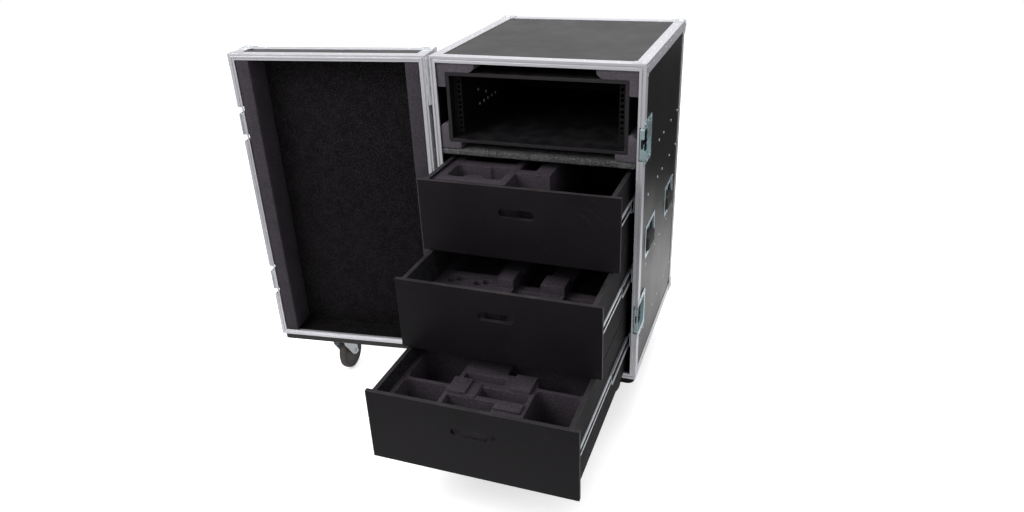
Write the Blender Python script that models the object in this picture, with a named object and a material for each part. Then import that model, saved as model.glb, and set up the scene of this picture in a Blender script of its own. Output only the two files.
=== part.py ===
"""Wireless microphone flight case on casters, standing open.

Metres, +Z up. The origin is the centre of the wheel board's underside. Pieces of the body are drawn
from the middle of the body's front bottom edge: x to the right, y into the case, z up. Pieces of the
lid are drawn as if it were shut, so they lie at negative y, and the hinge empty swings them open.
"""

import math

import bmesh
import bpy
from mathutils import Matrix, Vector

# Case body and lid
CASE_WIDTH = 0.600
CASE_HEIGHT = 0.950
CASE_DEPTH = 0.614
LID_DEPTH = 0.106
PLY = 0.009
SKIN = 0.0015
GAP = 0.0003
BOARD = 0.018
BOARD_INSET = 0.0065
LAP = 0.0005
LEG = 0.030

# Front frame section: distance in from the outer face, distance back from the mating plane
FRAME_FACE = 0.0175
FRAME_WEB = 0.005
FRAME_INNER_LEG = 0.016
GROOVE_START = 0.0062
GROOVE_END = 0.0108
GROOVE_DEEP = 0.0025
NOTCH_IN = 0.0129

# Faces worked out from the sizes above
HALF = CASE_WIDTH / 2
PLY_OUT = HALF - SKIN - GAP
PLY_IN = PLY_OUT - PLY
INNER_LOW = SKIN + GAP + PLY
INNER_HIGH = CASE_HEIGHT - INNER_LOW
BACK_IN = CASE_DEPTH - INNER_LOW
PANEL_FRONT = FRAME_WEB + GAP

# Hinges
HINGE_OUT = 0.0059
HINGE_LONG = 0.130
HINGE_UP = 0.135
HINGE_DOWN = 0.071
HINGE_HEIGHTS = (HINGE_UP, CASE_HEIGHT - HINGE_DOWN)
HINGE_LEAF = 0.034
PIN_RADIUS = 0.0020
KNUCKLE_RADIUS = 0.0044
LID_OPEN = 172.7

# Latches on the right side
LATCH_UP = 0.207
LATCH_DOWN = 0.210
LATCH_HEIGHTS = (LATCH_UP, CASE_HEIGHT - LATCH_DOWN)
LATCH_POCKET = (0.0872, 0.092)
LATCH_FLANGE = (0.100, 0.124)
LATCH_DEEP = 0.0124
KEEPER_LONG = 0.066
KEEPER_IN = 0.0165
KEEPER_GROOVE = (0.0030, 0.0085)
LID_NOTCH = 0.105
SHEET = 0.0012
LATCH_PIVOT = 0.046

# Handle bails
GRIP_LONG = 0.088
GRIP_TALL = 0.026
GRIP_THICK = 0.0125
BAIL_WIRE = 0.0028
BAIL_SPAN = 0.104
BAIL_RISE = 0.033
BAIL_DROP = 0.048

# Rack bay, from the top board down and from the side boards in
RACK_UNIT = 0.04445
RACK_UNITS = 4
FOAM_OUT = PLY_IN - 0.0022
FOAM_TOP = INNER_HIGH - 0.0024
FOAM_FRONT = 0.0056
FOAM_BACK = BACK_IN - 0.0132
FOAM_SIDE = 0.0305
FOAM_OVER = 0.0313
FOAM_UNDER = 0.0205
FOAM_ARM_UPPER = 0.0865
FOAM_ARM_LOWER = 0.0345
FOAM_DROP = 0.0415
FOAM_RISE = 0.0545
FOAM_EDGE = (0.012, 0.0125)
SLEEVE_HALF = FOAM_OUT - FOAM_SIDE
SLEEVE_TALL = 0.198
SLEEVE_HIGH = FOAM_TOP - FOAM_OVER
SLEEVE_LOW = SLEEVE_HIGH - SLEEVE_TALL
SLEEVE_WALL = 0.009
SLEEVE_FRONT = 0.008
SLEEVE_BACK = BACK_IN - 0.0182
SHELF_THICK = 0.019
SHELF_HIGH = SLEEVE_LOW - FOAM_UNDER
SHELF_LOW = SHELF_HIGH - SHELF_THICK
RAIL_FRONT = 0.040
RAIL_DEEP = 0.032
RAIL_REACH = 0.0315
RAIL_OPENING = SLEEVE_HALF - RAIL_REACH
RAIL_HOLE_IN = 0.00755
RAIL_HOLE = 0.0095

# Drawers, bottom one first, sharing the height under the shelf
DRAWER_FIRST = 0.0205
DRAWER_OVER = 0.010
DRAWER_PITCH = (SHELF_LOW - DRAWER_FIRST - DRAWER_OVER) / 3
DRAWER_REVEAL = 0.003
DRAWER_TALL = DRAWER_PITCH - DRAWER_REVEAL
DRAWER_CLEAR = 0.001
DRAWER_HALF = HALF - FRAME_FACE - DRAWER_CLEAR
DRAWER_FACE = 0.004
FRONT_THICK = 0.0115
FRONT_LIP = 0.016
BOX_HALF = DRAWER_HALF - FRONT_LIP
BOX_WALL = 0.012
BOX_BACK = BACK_IN - 0.0212
BOX_FLOOR = 0.009
BOX_INNER = BOX_HALF - BOX_WALL - GAP
SLOT_LONG = 0.100
SLOT_TALL = 0.026
SLOT_DOWN = 0.0745
DRAWER_OUT = (0.564, 0.352, 0.172)
RUNNER_UP = 0.1055
RUNNER_CREEP = 0.005
RUNNER_HEIGHTS = tuple(
    DRAWER_FIRST + RUNNER_UP + i * (DRAWER_PITCH + RUNNER_CREEP) for i in range(3)
)
RUNNER_THICK = 0.0037
RUNNER_STEP = 0.0043
RUNNER_SHORT = 0.022
RUNNER_LONG = BOX_BACK - RUNNER_SHORT
RUNNER_START = 0.002
RUNNER_STOP = 0.0262
MIDDLE_START = 0.092
MIDDLE_STOP = 0.0232
RUNNER_TALL = (0.030, 0.038, 0.045)
PACKER_TALL = 0.060

# Handles on both sides over the middle packers, the front left one behind the open lid
HANDLE_END = 0.150
HANDLE_BEHIND = 0.080
HANDLE_REAR = CASE_DEPTH - HANDLE_END
HANDLE_DEPTHS = {-1: (LID_DEPTH + HANDLE_BEHIND, HANDLE_REAR), 1: (HANDLE_END, HANDLE_REAR)}
HANDLE_FLANGE = (0.140, 0.104)
HANDLE_POCKET = (0.120, 0.084)
HANDLE_DEEP = 0.0145
HANDLE_OVER = 0.002
HANDLE_HEIGHT = RUNNER_HEIGHTS[1] + PACKER_TALL / 2 + HANDLE_OVER + HANDLE_POCKET[1] / 2

# Foam inserts: edge margins of their pockets
BED_SIDE = 0.0182
BED_BACK = 0.037
BED_END = BOX_BACK - BED_BACK
BED_DEEP = 0.060
FOAM_STANDOFF = 0.0255

# Middle drawer's foam: a low platform, two ridges that stand over it, and a step between them
PLATFORM_DOWN = 0.091
PLATFORM_END = 0.252
RIDGES = ((-0.080, -0.030), (0.052, 0.118))
RIDGE_RISE = 0.044
RIDGE_START = 0.168
STEP = (0.200, 0.236)
STEP_DOWN = 0.012

# Casters
CASTER_TALL = 0.150
WHEEL_RADIUS = 0.0625
WHEEL_HALF = 0.0145
CASTER_TRAIL = 0.038
CASTER_IN = 0.095
CASTER_X = HALF - CASTER_IN
CASTER_END = 0.122
CASTER_DEPTHS = (CASTER_END, CASE_DEPTH - CASTER_END)
CASTER_TURNS = (135.0, 98.0, 15.0, 5.0)
LID_CASTER_TURN = 5.0
LID_CASTER_IN = 0.195
LID_CASTER = (HALF - LID_CASTER_IN, -LID_DEPTH / 2)
PLATE_LONG = 0.100
PLATE_WIDE = 0.085
PLATE_THICK = 0.003
BOLT_PITCH = (0.062, 0.078)
KINGPIN_RADIUS = 0.007
KINGPIN_LONG = 0.016
KINGPIN_PLAY = 0.0006
AXLE_RADIUS = 0.006
AXLE_PLAY = 0.0004
HUB_HALF = 0.0162
CORE_HALF = 0.0115
FORK_HALF = 0.0225
FORK_SHEET = 0.0027
FORK_DOWN = 0.0125

# Lid pads
PAD_WIDE = 0.0432


def clear_scene():
    """Start from an empty scene."""
    for old in list(bpy.data.objects):
        bpy.data.objects.remove(old, do_unlink=True)


def make_material(name, color, roughness, metallic=0.0):
    """One principled surface."""
    material = bpy.data.materials.new(name)
    material.use_nodes = True
    shader = material.node_tree.nodes["Principled BSDF"]
    shader.inputs["Base Color"].default_value = (*color, 1.0)
    shader.inputs["Roughness"].default_value = roughness
    shader.inputs["Metallic"].default_value = metallic
    return material


def new_empty(name, location, parent=None, turn=0.0):
    """Empty that carries a moving piece, turned about Z."""
    empty = bpy.data.objects.new(name, None)
    empty.location = location
    empty.rotation_euler = (0.0, 0.0, turn)
    empty.parent = parent
    bpy.context.scene.collection.objects.link(empty)
    return empty


def mesh_from(name, shape, origin=(0.0, 0.0, 0.0), crease=35.0):
    """Turn a bmesh into mesh data measured from the given origin."""
    bmesh.ops.translate(shape, verts=shape.verts, vec=-Vector(origin))
    bmesh.ops.recalc_face_normals(shape, faces=shape.faces)
    mesh = bpy.data.meshes.new(name)
    shape.to_mesh(mesh)
    shape.free()
    mesh.shade_smooth()
    mesh.set_sharp_from_angle(angle=math.radians(crease))
    return mesh


def place(name, mesh, material, parent, location=(0.0, 0.0, 0.0), turn=0.0):
    """One named object for one sub-part."""
    if not mesh.materials:
        mesh.materials.append(material)
    piece = bpy.data.objects.new(name, mesh)
    piece.location = location
    piece.rotation_euler = (0.0, 0.0, turn)
    piece.parent = parent
    bpy.context.scene.collection.objects.link(piece)
    return piece


def put(name, shape, material, parent, origin=(0.0, 0.0, 0.0)):
    """Object from a bmesh drawn in its parent's frame."""
    return place(name, mesh_from(name, shape, origin), material, parent, origin)


def combined(base, tool, operation):
    """Mesh of one solid joined with, cut by or kept inside another."""
    pair = []
    for shape in (base, tool):
        bmesh.ops.recalc_face_normals(shape, faces=shape.faces)
        mesh = bpy.data.meshes.new("working")
        shape.to_mesh(mesh)
        shape.free()
        holder = bpy.data.objects.new("working", mesh)
        bpy.context.scene.collection.objects.link(holder)
        pair.append(holder)
    modifier = pair[0].modifiers.new("Combine", "BOOLEAN")
    modifier.operation = operation
    modifier.solver = "EXACT"
    modifier.object = pair[1]
    graph = bpy.context.evaluated_depsgraph_get()
    result = bmesh.new()
    result.from_object(pair[0], graph)
    for holder in pair:
        bpy.data.objects.remove(holder, do_unlink=True)
    return result


def united(pieces):
    """One solid out of overlapping ones."""
    whole = pieces[0]
    for piece in pieces[1:]:
        whole = combined(whole, piece, "UNION")
    return whole


def box_of(low, high):
    """A box as a shape of its own."""
    shape = bmesh.new()
    add_box(shape, low, high)
    return shape


def add_box(shape, low, high):
    """Closed box between two opposite corners."""
    low, high = Vector(low), Vector(high)
    size = high - low
    matrix = Matrix.Translation((low + high) / 2) @ Matrix.Diagonal((*size, 1.0))
    bmesh.ops.create_cube(shape, size=1.0, matrix=matrix)


def add_loft(shape, rings, closed=False):
    """Skin over a row of rings, capped at both ends or closed on itself."""
    loops = [[shape.verts.new(point) for point in ring] for ring in rings]
    count = len(loops[0])
    pairs = list(zip(loops, loops[1:]))
    if closed:
        pairs.append((loops[-1], loops[0]))
    for near, far in pairs:
        for i in range(count):
            j = (i + 1) % count
            shape.faces.new((near[i], near[j], far[j], far[i]))
    if not closed:
        shape.faces.new(reversed(loops[0]))
        shape.faces.new(loops[-1])


def lift(outline, axis, offset):
    """Flat outline moved into space, square to an axis at the given offset."""
    if axis == "X":
        return [(offset, u, v) for u, v in outline]
    if axis == "Y":
        return [(u, offset, v) for u, v in outline]
    return [(u, v, offset) for u, v in outline]


def add_prism(shape, outline, axis, low, high):
    """Outline drawn out along an axis."""
    add_loft(shape, [lift(outline, axis, low), lift(outline, axis, high)])


def circle(u, v, radius, sides, start=0.0):
    """Regular outline round a point."""
    step = 2 * math.pi / sides
    return [
        (u + radius * math.cos(start + step * i), v + radius * math.sin(start + step * i))
        for i in range(sides)
    ]


def rounded(low, high, radius, steps=3):
    """Rectangle with rounded corners between two corners."""
    (u0, v0), (u1, v1) = low, high
    centres = [(u1 - radius, v1 - radius), (u0 + radius, v1 - radius)]
    centres += [(u0 + radius, v0 + radius), (u1 - radius, v0 + radius)]
    points = []
    for quarter, (u, v) in enumerate(centres):
        for i in range(steps + 1):
            angle = math.pi / 2 * (quarter + i / steps)
            points.append((u + radius * math.cos(angle), v + radius * math.sin(angle)))
    return points


def softened(corners, radius, steps=3):
    """Any outline with its corners rounded, inward ones too."""
    points = []
    count = len(corners)
    for i, corner in enumerate(corners):
        here = Vector(corner)
        before = (Vector(corners[i - 1]) - here).normalized()
        after = (Vector(corners[(i + 1) % count]) - here).normalized()
        for k in range(steps + 1):
            t = k / steps
            start, end = here + before * radius, here + after * radius
            curve = start * (1 - t) ** 2 + here * 2 * t * (1 - t) + end * t**2
            points.append((curve.x, curve.y))
    return points


def eased_path(corners, radius, steps=3):
    """Open path with its inner corners rounded."""
    points = [corners[0]]
    for before, corner, after in zip(corners, corners[1:], corners[2:]):
        here = Vector(corner)
        start = here + (Vector(before) - here).normalized() * radius
        end = here + (Vector(after) - here).normalized() * radius
        for k in range(steps + 1):
            t = k / steps
            curve = start * (1 - t) ** 2 + here * 2 * t * (1 - t) + end * t**2
            points.append((curve.x, curve.y))
    return points + [corners[-1]]


def add_rod(shape, centre, axis, radius, low, high, sides=12, bevel=0.0):
    """Round bar along an axis, its far end eased by the bevel."""
    rings = [lift(circle(*centre, radius, sides), axis, low)]
    rings.append(lift(circle(*centre, radius, sides), axis, high - math.copysign(bevel, high - low)))
    if bevel:
        rings.append(lift(circle(*centre, radius - bevel, sides), axis, high))
    add_loft(shape, rings)


def add_tube(shape, path, radius, sides=6):
    """Bent round wire along a path of points."""
    points = [Vector(point) for point in path]
    side = Vector((1.0, 0.0, 0.0))
    rings = []
    for i, point in enumerate(points):
        ahead = points[min(i + 1, len(points) - 1)] - points[max(i - 1, 0)]
        ahead.normalize()
        across = ahead.cross(side).normalized()
        ring = []
        for k in range(sides):
            angle = 2 * math.pi * k / sides
            ring.append(point + (side * math.cos(angle) + across * math.sin(angle)) * radius)
        rings.append(ring)
    add_loft(shape, rings)


def add_carved(shape, low, high, holes):
    """Board between two corners with square-cut openings through it or into it."""
    marks = []
    for axis in range(3):
        values = {low[axis], high[axis]}
        for hole in holes:
            values |= {corner[axis] for corner in hole if low[axis] < corner[axis] < high[axis]}
        marks.append(sorted(values))

    def solid(cell):
        for axis in range(3):
            if not 0 <= cell[axis] < len(marks[axis]) - 1:
                return False
        middle = [(marks[a][cell[a]] + marks[a][cell[a] + 1]) / 2 for a in range(3)]
        for start, end in holes:
            if all(start[a] < middle[a] < end[a] for a in range(3)):
                return False
        return True

    corners = {}

    def corner_at(key):
        if key not in corners:
            corners[key] = shape.verts.new([marks[a][key[a]] for a in range(3)])
        return corners[key]

    faces = []
    for i in range(len(marks[0]) - 1):
        for j in range(len(marks[1]) - 1):
            for k in range(len(marks[2]) - 1):
                if not solid((i, j, k)):
                    continue
                for axis in range(3):
                    for step in (0, 1):
                        cell = [i, j, k]
                        cell[axis] += 2 * step - 1
                        if solid(cell):
                            continue
                        u, v = (axis + 1) % 3, (axis + 2) % 3
                        ring = []
                        for du, dv in ((0, 0), (1, 0), (1, 1), (0, 1)):
                            key = [i, j, k]
                            key[axis] += step
                            key[u] += du
                            key[v] += dv
                            ring.append(corner_at(tuple(key)))
                        faces.append(shape.faces.new(ring if step else ring[::-1]))
    edges = list({edge for face in faces for edge in face.edges})
    bmesh.ops.dissolve_limit(shape, angle_limit=0.01, verts=list(corners.values()), edges=edges)


def frame_section(tongue):
    """Section of the mating frame: distance in from outside, distance back from the plane."""
    if tongue:
        ridge = [(GROOVE_START + GAP, 0.0), (GROOVE_START + GAP, -GROOVE_DEEP + GAP)]
        ridge += [(GROOVE_END - GAP, -GROOVE_DEEP + GAP), (GROOVE_END - GAP, 0.0)]
    else:
        ridge = [(GROOVE_START, 0.0), (GROOVE_START, GROOVE_DEEP)]
        ridge += [(GROOVE_END, GROOVE_DEEP), (GROOVE_END, 0.0)]
    leg = INNER_LOW + GAP
    outline = [(0.0, 0.0), *ridge, (FRAME_FACE, 0.0), (FRAME_FACE, 0.002)]
    outline += [(leg + SKIN, FRAME_WEB), (leg + SKIN, FRAME_INNER_LEG), (leg, FRAME_INNER_LEG)]
    outline += [(leg, FRAME_WEB), (SKIN, FRAME_WEB), (SKIN, LEG), (0.0, LEG)]
    return outline


def mating_frame(tongue, notch):
    """Four mitred sides of frame as one ring, its right side cut back at the latches."""
    back = -1.0 if tongue else 1.0
    shape = bmesh.new()
    rings = []
    for across, up in ((-1, -1), (1, -1), (1, 1), (-1, 1)):
        ring = []
        for inset, depth in frame_section(tongue):
            height = CASE_HEIGHT - inset if up > 0 else inset
            ring.append((across * (HALF - inset), back * depth, height))
        rings.append(ring)
    add_loft(shape, rings, closed=True)
    cutter = bmesh.new()
    for level in LATCH_HEIGHTS:
        start, stop = sorted((-0.01 * back, (LEG + 0.01) * back))
        low = (HALF - NOTCH_IN, start, level - notch / 2)
        add_box(cutter, low, (HALF + 0.01, stop, level + notch / 2))
    return combined(shape, cutter, "DIFFERENCE")


def dish_hole(centre, size, through, grow=GAP):
    """Square opening for a pressed dish in a side board."""
    (depth, height), (long, tall), (start, end) = centre, size, through
    low = (start, depth - long / 2 - grow, height - tall / 2 - grow)
    high = (end, depth + long / 2 + grow, height + tall / 2 + grow)
    return low, high


def top_panel(black, root):
    """Top board."""
    low = (-PLY_OUT, PANEL_FRONT, INNER_HIGH)
    shape = box_of(low, (PLY_OUT, CASE_DEPTH - SKIN - GAP, INNER_HIGH + PLY))
    put("case_top_panel", shape, black, root)


def side_panel(name, side, black, root):
    """Side board open for its dishes, with the runner packers and fixed slide members inside."""
    start, end = sorted((side * PLY_IN, side * PLY_OUT))
    through = (start - 0.01, end + 0.01)
    holes = [dish_hole((d, HANDLE_HEIGHT), HANDLE_POCKET, through) for d in HANDLE_DEPTHS[side]]
    if side > 0:
        for height in LATCH_HEIGHTS:
            centre = (LATCH_POCKET[0] / 2 + 0.0008, height)
            low, high = dish_hole(centre, LATCH_POCKET, through)
            holes.append(((low[0], -1.0, low[2]), high))
    shape = bmesh.new()
    low = (start, PANEL_FRONT, INNER_LOW + GAP)
    high = (end, CASE_DEPTH - SKIN - GAP, INNER_HIGH - GAP)
    add_carved(shape, low, high, holes)
    pieces = [shape]
    inner = BOX_HALF + GAP + 2 * RUNNER_STEP + RUNNER_THICK
    for height in RUNNER_HEIGHTS:
        start, end = sorted((side * inner, side * (PLY_IN + LAP)))
        low = (start, FRAME_INNER_LEG + GAP, height - PACKER_TALL / 2)
        pieces.append(box_of(low, (end, BACK_IN - GAP, height + PACKER_TALL / 2)))
        front = FRAME_INNER_LEG + GAP + RUNNER_START
        pieces.append(slide_member(2, side, height, front, BACK_IN - RUNNER_STOP))
    put(name, united(pieces), black, root)


def back_panel(black, root):
    """Back board between the side boards."""
    shape = bmesh.new()
    add_box(
        shape,
        (-PLY_IN + GAP, BACK_IN, INNER_LOW + GAP),
        (PLY_IN - GAP, BACK_IN + PLY, INNER_HIGH - GAP),
    )
    put("case_back_panel", shape, black, root)


def angle_cage(front, back):
    """Angles over the eight edges between two depths, joined where they meet at the back."""
    near, far = sorted((front, back))
    low, high = (-HALF, near, 0.0), (HALF, far, CASE_HEIGHT)
    wide, tall = HALF - SKIN, CASE_HEIGHT - SKIN
    deep = back - SKIN if back > front else back + SKIN
    start, stop = sorted((front - math.copysign(0.01, back - front), deep))
    holes = [((-wide, start, SKIN), (wide, stop, tall))]
    rim = back - LEG if back > front else back + LEG
    start, stop = sorted((front - math.copysign(0.01, back - front), rim))
    holes.append(((-1.0, start, LEG), (1.0, stop, CASE_HEIGHT - LEG)))
    holes.append(((-HALF + LEG, start, -1.0), (HALF - LEG, stop, 2.0)))
    start, stop = sorted((near - 0.01, far + 0.01))
    holes.append(((-HALF + LEG, start, LEG), (HALF - LEG, stop, CASE_HEIGHT - LEG)))
    shape = bmesh.new()
    add_carved(shape, low, high, holes)
    return shape


def edge_angles(metal, root):
    """Angles behind the front frame with a ball corner at each back corner."""
    cage = angle_cage(LEG + GAP, CASE_DEPTH)
    pieces = [cage, *ball_corners(CASE_DEPTH, 1.0)]
    put("case_edge_angles", united(pieces), metal, root)


def ball_corner(bottom):
    """Pressed cap for a corner at the origin, with the case at negative x, y and z."""
    flap, bulge, sink = 0.038, 0.0152, 0.0100
    shape = box_of((-flap, -flap, -flap), (SKIN, SKIN, -0.0012 if bottom else SKIN))
    ball = bmesh.new()
    height = -bulge - 0.0012 if bottom else -sink
    turn = Matrix.Rotation(math.radians(11.0), 4, "Z")
    matrix = Matrix.Translation((-sink, -sink, height)) @ turn
    bmesh.ops.create_uvsphere(ball, u_segments=12, v_segments=6, radius=bulge, matrix=matrix)
    shape = combined(shape, ball, "UNION")
    inside = box_of((-0.1, -0.1, -0.1), (-LAP, -LAP, 0.1 if bottom else -LAP))
    return combined(shape, inside, "DIFFERENCE")


def ball_corners(depth, way):
    """Four ball corners at one depth, as shapes that lap onto the angles."""
    pieces = []
    for bottom in (False, True):
        cap = ball_corner(bottom)
        for side in (-1, 1):
            level = 0.0 if bottom else CASE_HEIGHT
            spread = Matrix.Diagonal((side, way, -1.0 if bottom else 1.0, 1.0))
            place_at = Matrix.Translation((side * HALF, depth, level)) @ spread
            pieces.append(copied(cap, place_at))
        cap.free()
    return pieces


def copied(source, matrix):
    """Copy of one solid, turned and mirrored into place."""
    shape = source.copy()
    bmesh.ops.transform(shape, matrix=matrix, verts=shape.verts)
    if matrix.determinant() < 0:
        bmesh.ops.reverse_faces(shape, faces=shape.faces)
    return shape


def brace(level, up, back):
    """Folded brace over the right corner of a mating edge."""
    flap, far, edge = 0.036, SKIN, HALF
    outline = [(edge - flap, level + up * LAP), (edge - LAP, level + up * LAP)]
    outline += [(edge - LAP, level + up * flap), (edge + far, level + up * flap)]
    outline += [(edge + far, level - up * far), (edge - flap, level - up * far)]
    start, stop = sorted((back * 0.0006, back * (LEG - 0.001)))
    shape = bmesh.new()
    add_prism(shape, outline, "Y", start, stop)
    return shape


def base_board(black, root):
    """Bottom board with the wheel board bolted under it and the four caster plates."""
    low = (-PLY_OUT, PANEL_FRONT, SKIN + GAP)
    panel = box_of(low, (PLY_OUT, CASE_DEPTH - SKIN - GAP, INNER_LOW))
    board = bmesh.new()
    low = (-HALF + BOARD_INSET, 0.001)
    high = (HALF - BOARD_INSET, CASE_DEPTH - BOARD_INSET)
    add_prism(board, rounded(low, high, 0.020), "Z", -BOARD, -GAP)
    reach = HALF - LEG - 0.005
    core = box_of((-reach, LEG + 0.005, -0.006), (reach, CASE_DEPTH - LEG - 0.005, 0.005))
    pieces = [panel, core, board]
    for depth in CASTER_DEPTHS:
        for x in (-CASTER_X, CASTER_X):
            pieces += caster_plate(x, depth, 0.0)
    put("case_base", united(pieces), black, root)


def shelf(carpet, root):
    """Carpeted board under the rack bay."""
    shape = bmesh.new()
    add_box(shape, (-FOAM_OUT, PANEL_FRONT, SHELF_LOW), (FOAM_OUT, BACK_IN - GAP, SHELF_HIGH))
    put("rack_shelf", shape, carpet, root)


def rack_rail(side):
    """Square-holed rail at one side of the rack opening."""
    middle = (SLEEVE_LOW + SLEEVE_HIGH) / 2
    tall = RACK_UNITS * RACK_UNIT
    outer = SLEEVE_HALF - SLEEVE_WALL + LAP
    start, end = sorted((side * RAIL_OPENING, side * outer))
    low = (start, RAIL_FRONT, middle - tall / 2)
    high = (end, RAIL_FRONT + RAIL_DEEP, middle + tall / 2)
    inner_start, inner_end = sorted((side * (RAIL_OPENING - 0.01), side * (outer - 0.0025)))
    holes = [((inner_start, RAIL_FRONT + 0.002, 0.0), (inner_end, 1.0, 1.0))]
    for unit in range(RACK_UNITS):
        for rise in (0.00635, 0.022225, 0.0381):
            level = middle - tall / 2 + unit * RACK_UNIT + rise
            centre = side * (RAIL_OPENING + RAIL_HOLE_IN)
            cut_low = (centre - RAIL_HOLE / 2, 0.0, level - RAIL_HOLE / 2)
            cut_high = (centre + RAIL_HOLE / 2, RAIL_FRONT + 0.01, level + RAIL_HOLE / 2)
            holes.append((cut_low, cut_high))
    shape = bmesh.new()
    add_carved(shape, low, high, holes)
    return shape


def rack_sleeve(black, root):
    """Sleeve round the rack units with its two rails screwed in."""
    wall = SLEEVE_WALL
    shape = bmesh.new()
    inner = SLEEVE_HALF - wall
    hole = ((-inner, -1.0, SLEEVE_LOW + wall), (inner, 1.0, SLEEVE_HIGH - wall))
    low = (-SLEEVE_HALF, SLEEVE_FRONT, SLEEVE_LOW)
    add_carved(shape, low, (SLEEVE_HALF, SLEEVE_BACK, SLEEVE_HIGH), [hole])
    put("rack_sleeve", united([shape, rack_rail(-1), rack_rail(1)]), black, root)


def rack_foam(foam, root):
    """Four L-shaped foam lengths that float the sleeve."""
    out, side_in = FOAM_OUT, SLEEVE_HALF + GAP
    arm, drop, rise = SLEEVE_HALF - FOAM_ARM_UPPER, SLEEVE_HIGH - FOAM_DROP, SLEEVE_LOW + FOAM_RISE
    upper = [(arm, FOAM_TOP), (arm, SLEEVE_HIGH + FOAM_EDGE[1])]
    upper.append((arm + FOAM_EDGE[0], SLEEVE_HIGH + GAP))
    upper += [(side_in, SLEEVE_HIGH + GAP), (side_in, drop), (out, drop), (out, FOAM_TOP)]
    foot = SLEEVE_HALF - FOAM_ARM_LOWER
    lower = [(foot, SHELF_HIGH + GAP), (out, SHELF_HIGH + GAP), (out, rise)]
    lower += [(side_in, rise), (side_in, SLEEVE_LOW - GAP), (foot, SLEEVE_LOW - GAP)]
    for level, outline in (("upper", upper), ("lower", lower)):
        for word, side in (("left", -1), ("right", 1)):
            shape = bmesh.new()
            add_prism(shape, [(side * u, v) for u, v in outline], "Y", FOAM_FRONT, FOAM_BACK)
            put(f"rack_foam_{level}_{word}", shape, foam, root)


def bar_outline(middle, half_thick, level, half_tall, ease):
    """Flat bar section with eased edges."""
    u0, u1 = middle - half_thick, middle + half_thick
    v0, v1 = level - half_tall, level + half_tall
    points = [(u0 + ease, v0), (u1 - ease, v0), (u1, v0 + ease), (u1, v1 - ease)]
    return points + [(u1 - ease, v1), (u0 + ease, v1), (u0, v1 - ease), (u0, v0 + ease)]


def slide_member(stage, side, height, start, stop):
    """Slide member on one side: stage 0 is on the drawer, 1 between and 2 on the case."""
    lap = GAP + LAP
    near = BOX_HALF + GAP + stage * RUNNER_STEP - (lap if stage == 0 else 0.0)
    far = BOX_HALF + GAP + stage * RUNNER_STEP + RUNNER_THICK + (lap if stage == 2 else 0.0)
    half = RUNNER_TALL[stage] / 2
    shape = bmesh.new()
    section = bar_outline(side * (near + far) / 2, (far - near) / 2, height, half, 0.001)
    add_prism(shape, section, "Y", start, stop)
    return shape


def hinge_leaf(name, level, back, zinc, parent, pinned, origin):
    """One leaf of a hinge: plate, tails and its share of five knuckles."""
    low, high = level - HINGE_LONG / 2, level + HINGE_LONG / 2
    centre = (-HALF - HINGE_OUT, 0.0)
    start, stop = sorted((back * (KNUCKLE_RADIUS + 2 * GAP), back * HINGE_LEAF))
    plate = box_of((-HALF - GAP - SKIN, start, low), (-HALF - GAP, stop, high))
    pieces = [plate]
    step = HINGE_LONG / 5
    for i in range(5):
        if (i % 2 == 0) != pinned:
            continue
        bottom, top = low + i * step + GAP / 2, low + (i + 1) * step - GAP / 2
        start, stop = sorted((back * -0.001, back * (KNUCKLE_RADIUS + 0.0012)))
        tail_low = (-HALF - 0.0030, start, bottom + 0.0005)
        pieces.append(box_of(tail_low, (-HALF - GAP - 0.0001, stop, top - 0.0005)))
        barrel = bmesh.new()
        add_rod(barrel, centre, "Z", KNUCKLE_RADIUS, bottom, top, 10)
        pieces.append(barrel)
    rod = bmesh.new()
    if pinned:
        add_rod(rod, centre, "Z", PIN_RADIUS, low - 0.0015, high + 0.0015, 10)
        pieces.append(rod)
        shape = united(pieces)
    else:
        add_rod(rod, centre, "Z", PIN_RADIUS + 2 * GAP, low - 0.01, high + 0.01, 10)
        shape = combined(united(pieces), rod, "DIFFERENCE")
    bmesh.ops.translate(shape, verts=shape.verts, vec=-Vector(origin))
    put(name, shape, zinc, parent)


def pressed_dish(shape, side, centre, flange, pocket, face, deep, radius):
    """Pressed sheet dish: pocket, flange and inner hollow as one skin."""
    depth, height = centre
    out = side * (face + SHEET)
    under = side * face
    floor_out = side * (face - deep)
    floor_in = side * (face - deep + SHEET)

    def ring(size, x, inset=0.0):
        (start, end), tall = size
        low = (start + inset, height - tall / 2 + inset)
        high = (end - inset, height + tall / 2 - inset)
        return lift(rounded(low, high, radius - inset), "X", x)

    rings = [ring(pocket, floor_out, 0.003), ring(pocket, side * (face - deep + 0.003))]
    rings += [ring(pocket, under), ring(flange, under), ring(flange, out)]
    rings += [ring(pocket, out, SHEET), ring(pocket, side * (face - deep + 0.003), SHEET)]
    rings += [ring(pocket, floor_in, 0.0038)]
    add_loft(shape, rings)


def handle_dish(name, side, depth, zinc, root):
    """Dish of one handle."""
    shape = bmesh.new()
    flange = ((depth - HANDLE_FLANGE[0] / 2, depth + HANDLE_FLANGE[0] / 2), HANDLE_FLANGE[1])
    pocket = ((depth - HANDLE_POCKET[0] / 2, depth + HANDLE_POCKET[0] / 2), HANDLE_POCKET[1])
    spot = (depth, HANDLE_HEIGHT)
    pressed_dish(shape, side, spot, flange, pocket, PLY_OUT + GAP, HANDLE_DEEP, 0.010)
    put(name, shape, zinc, root)


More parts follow.
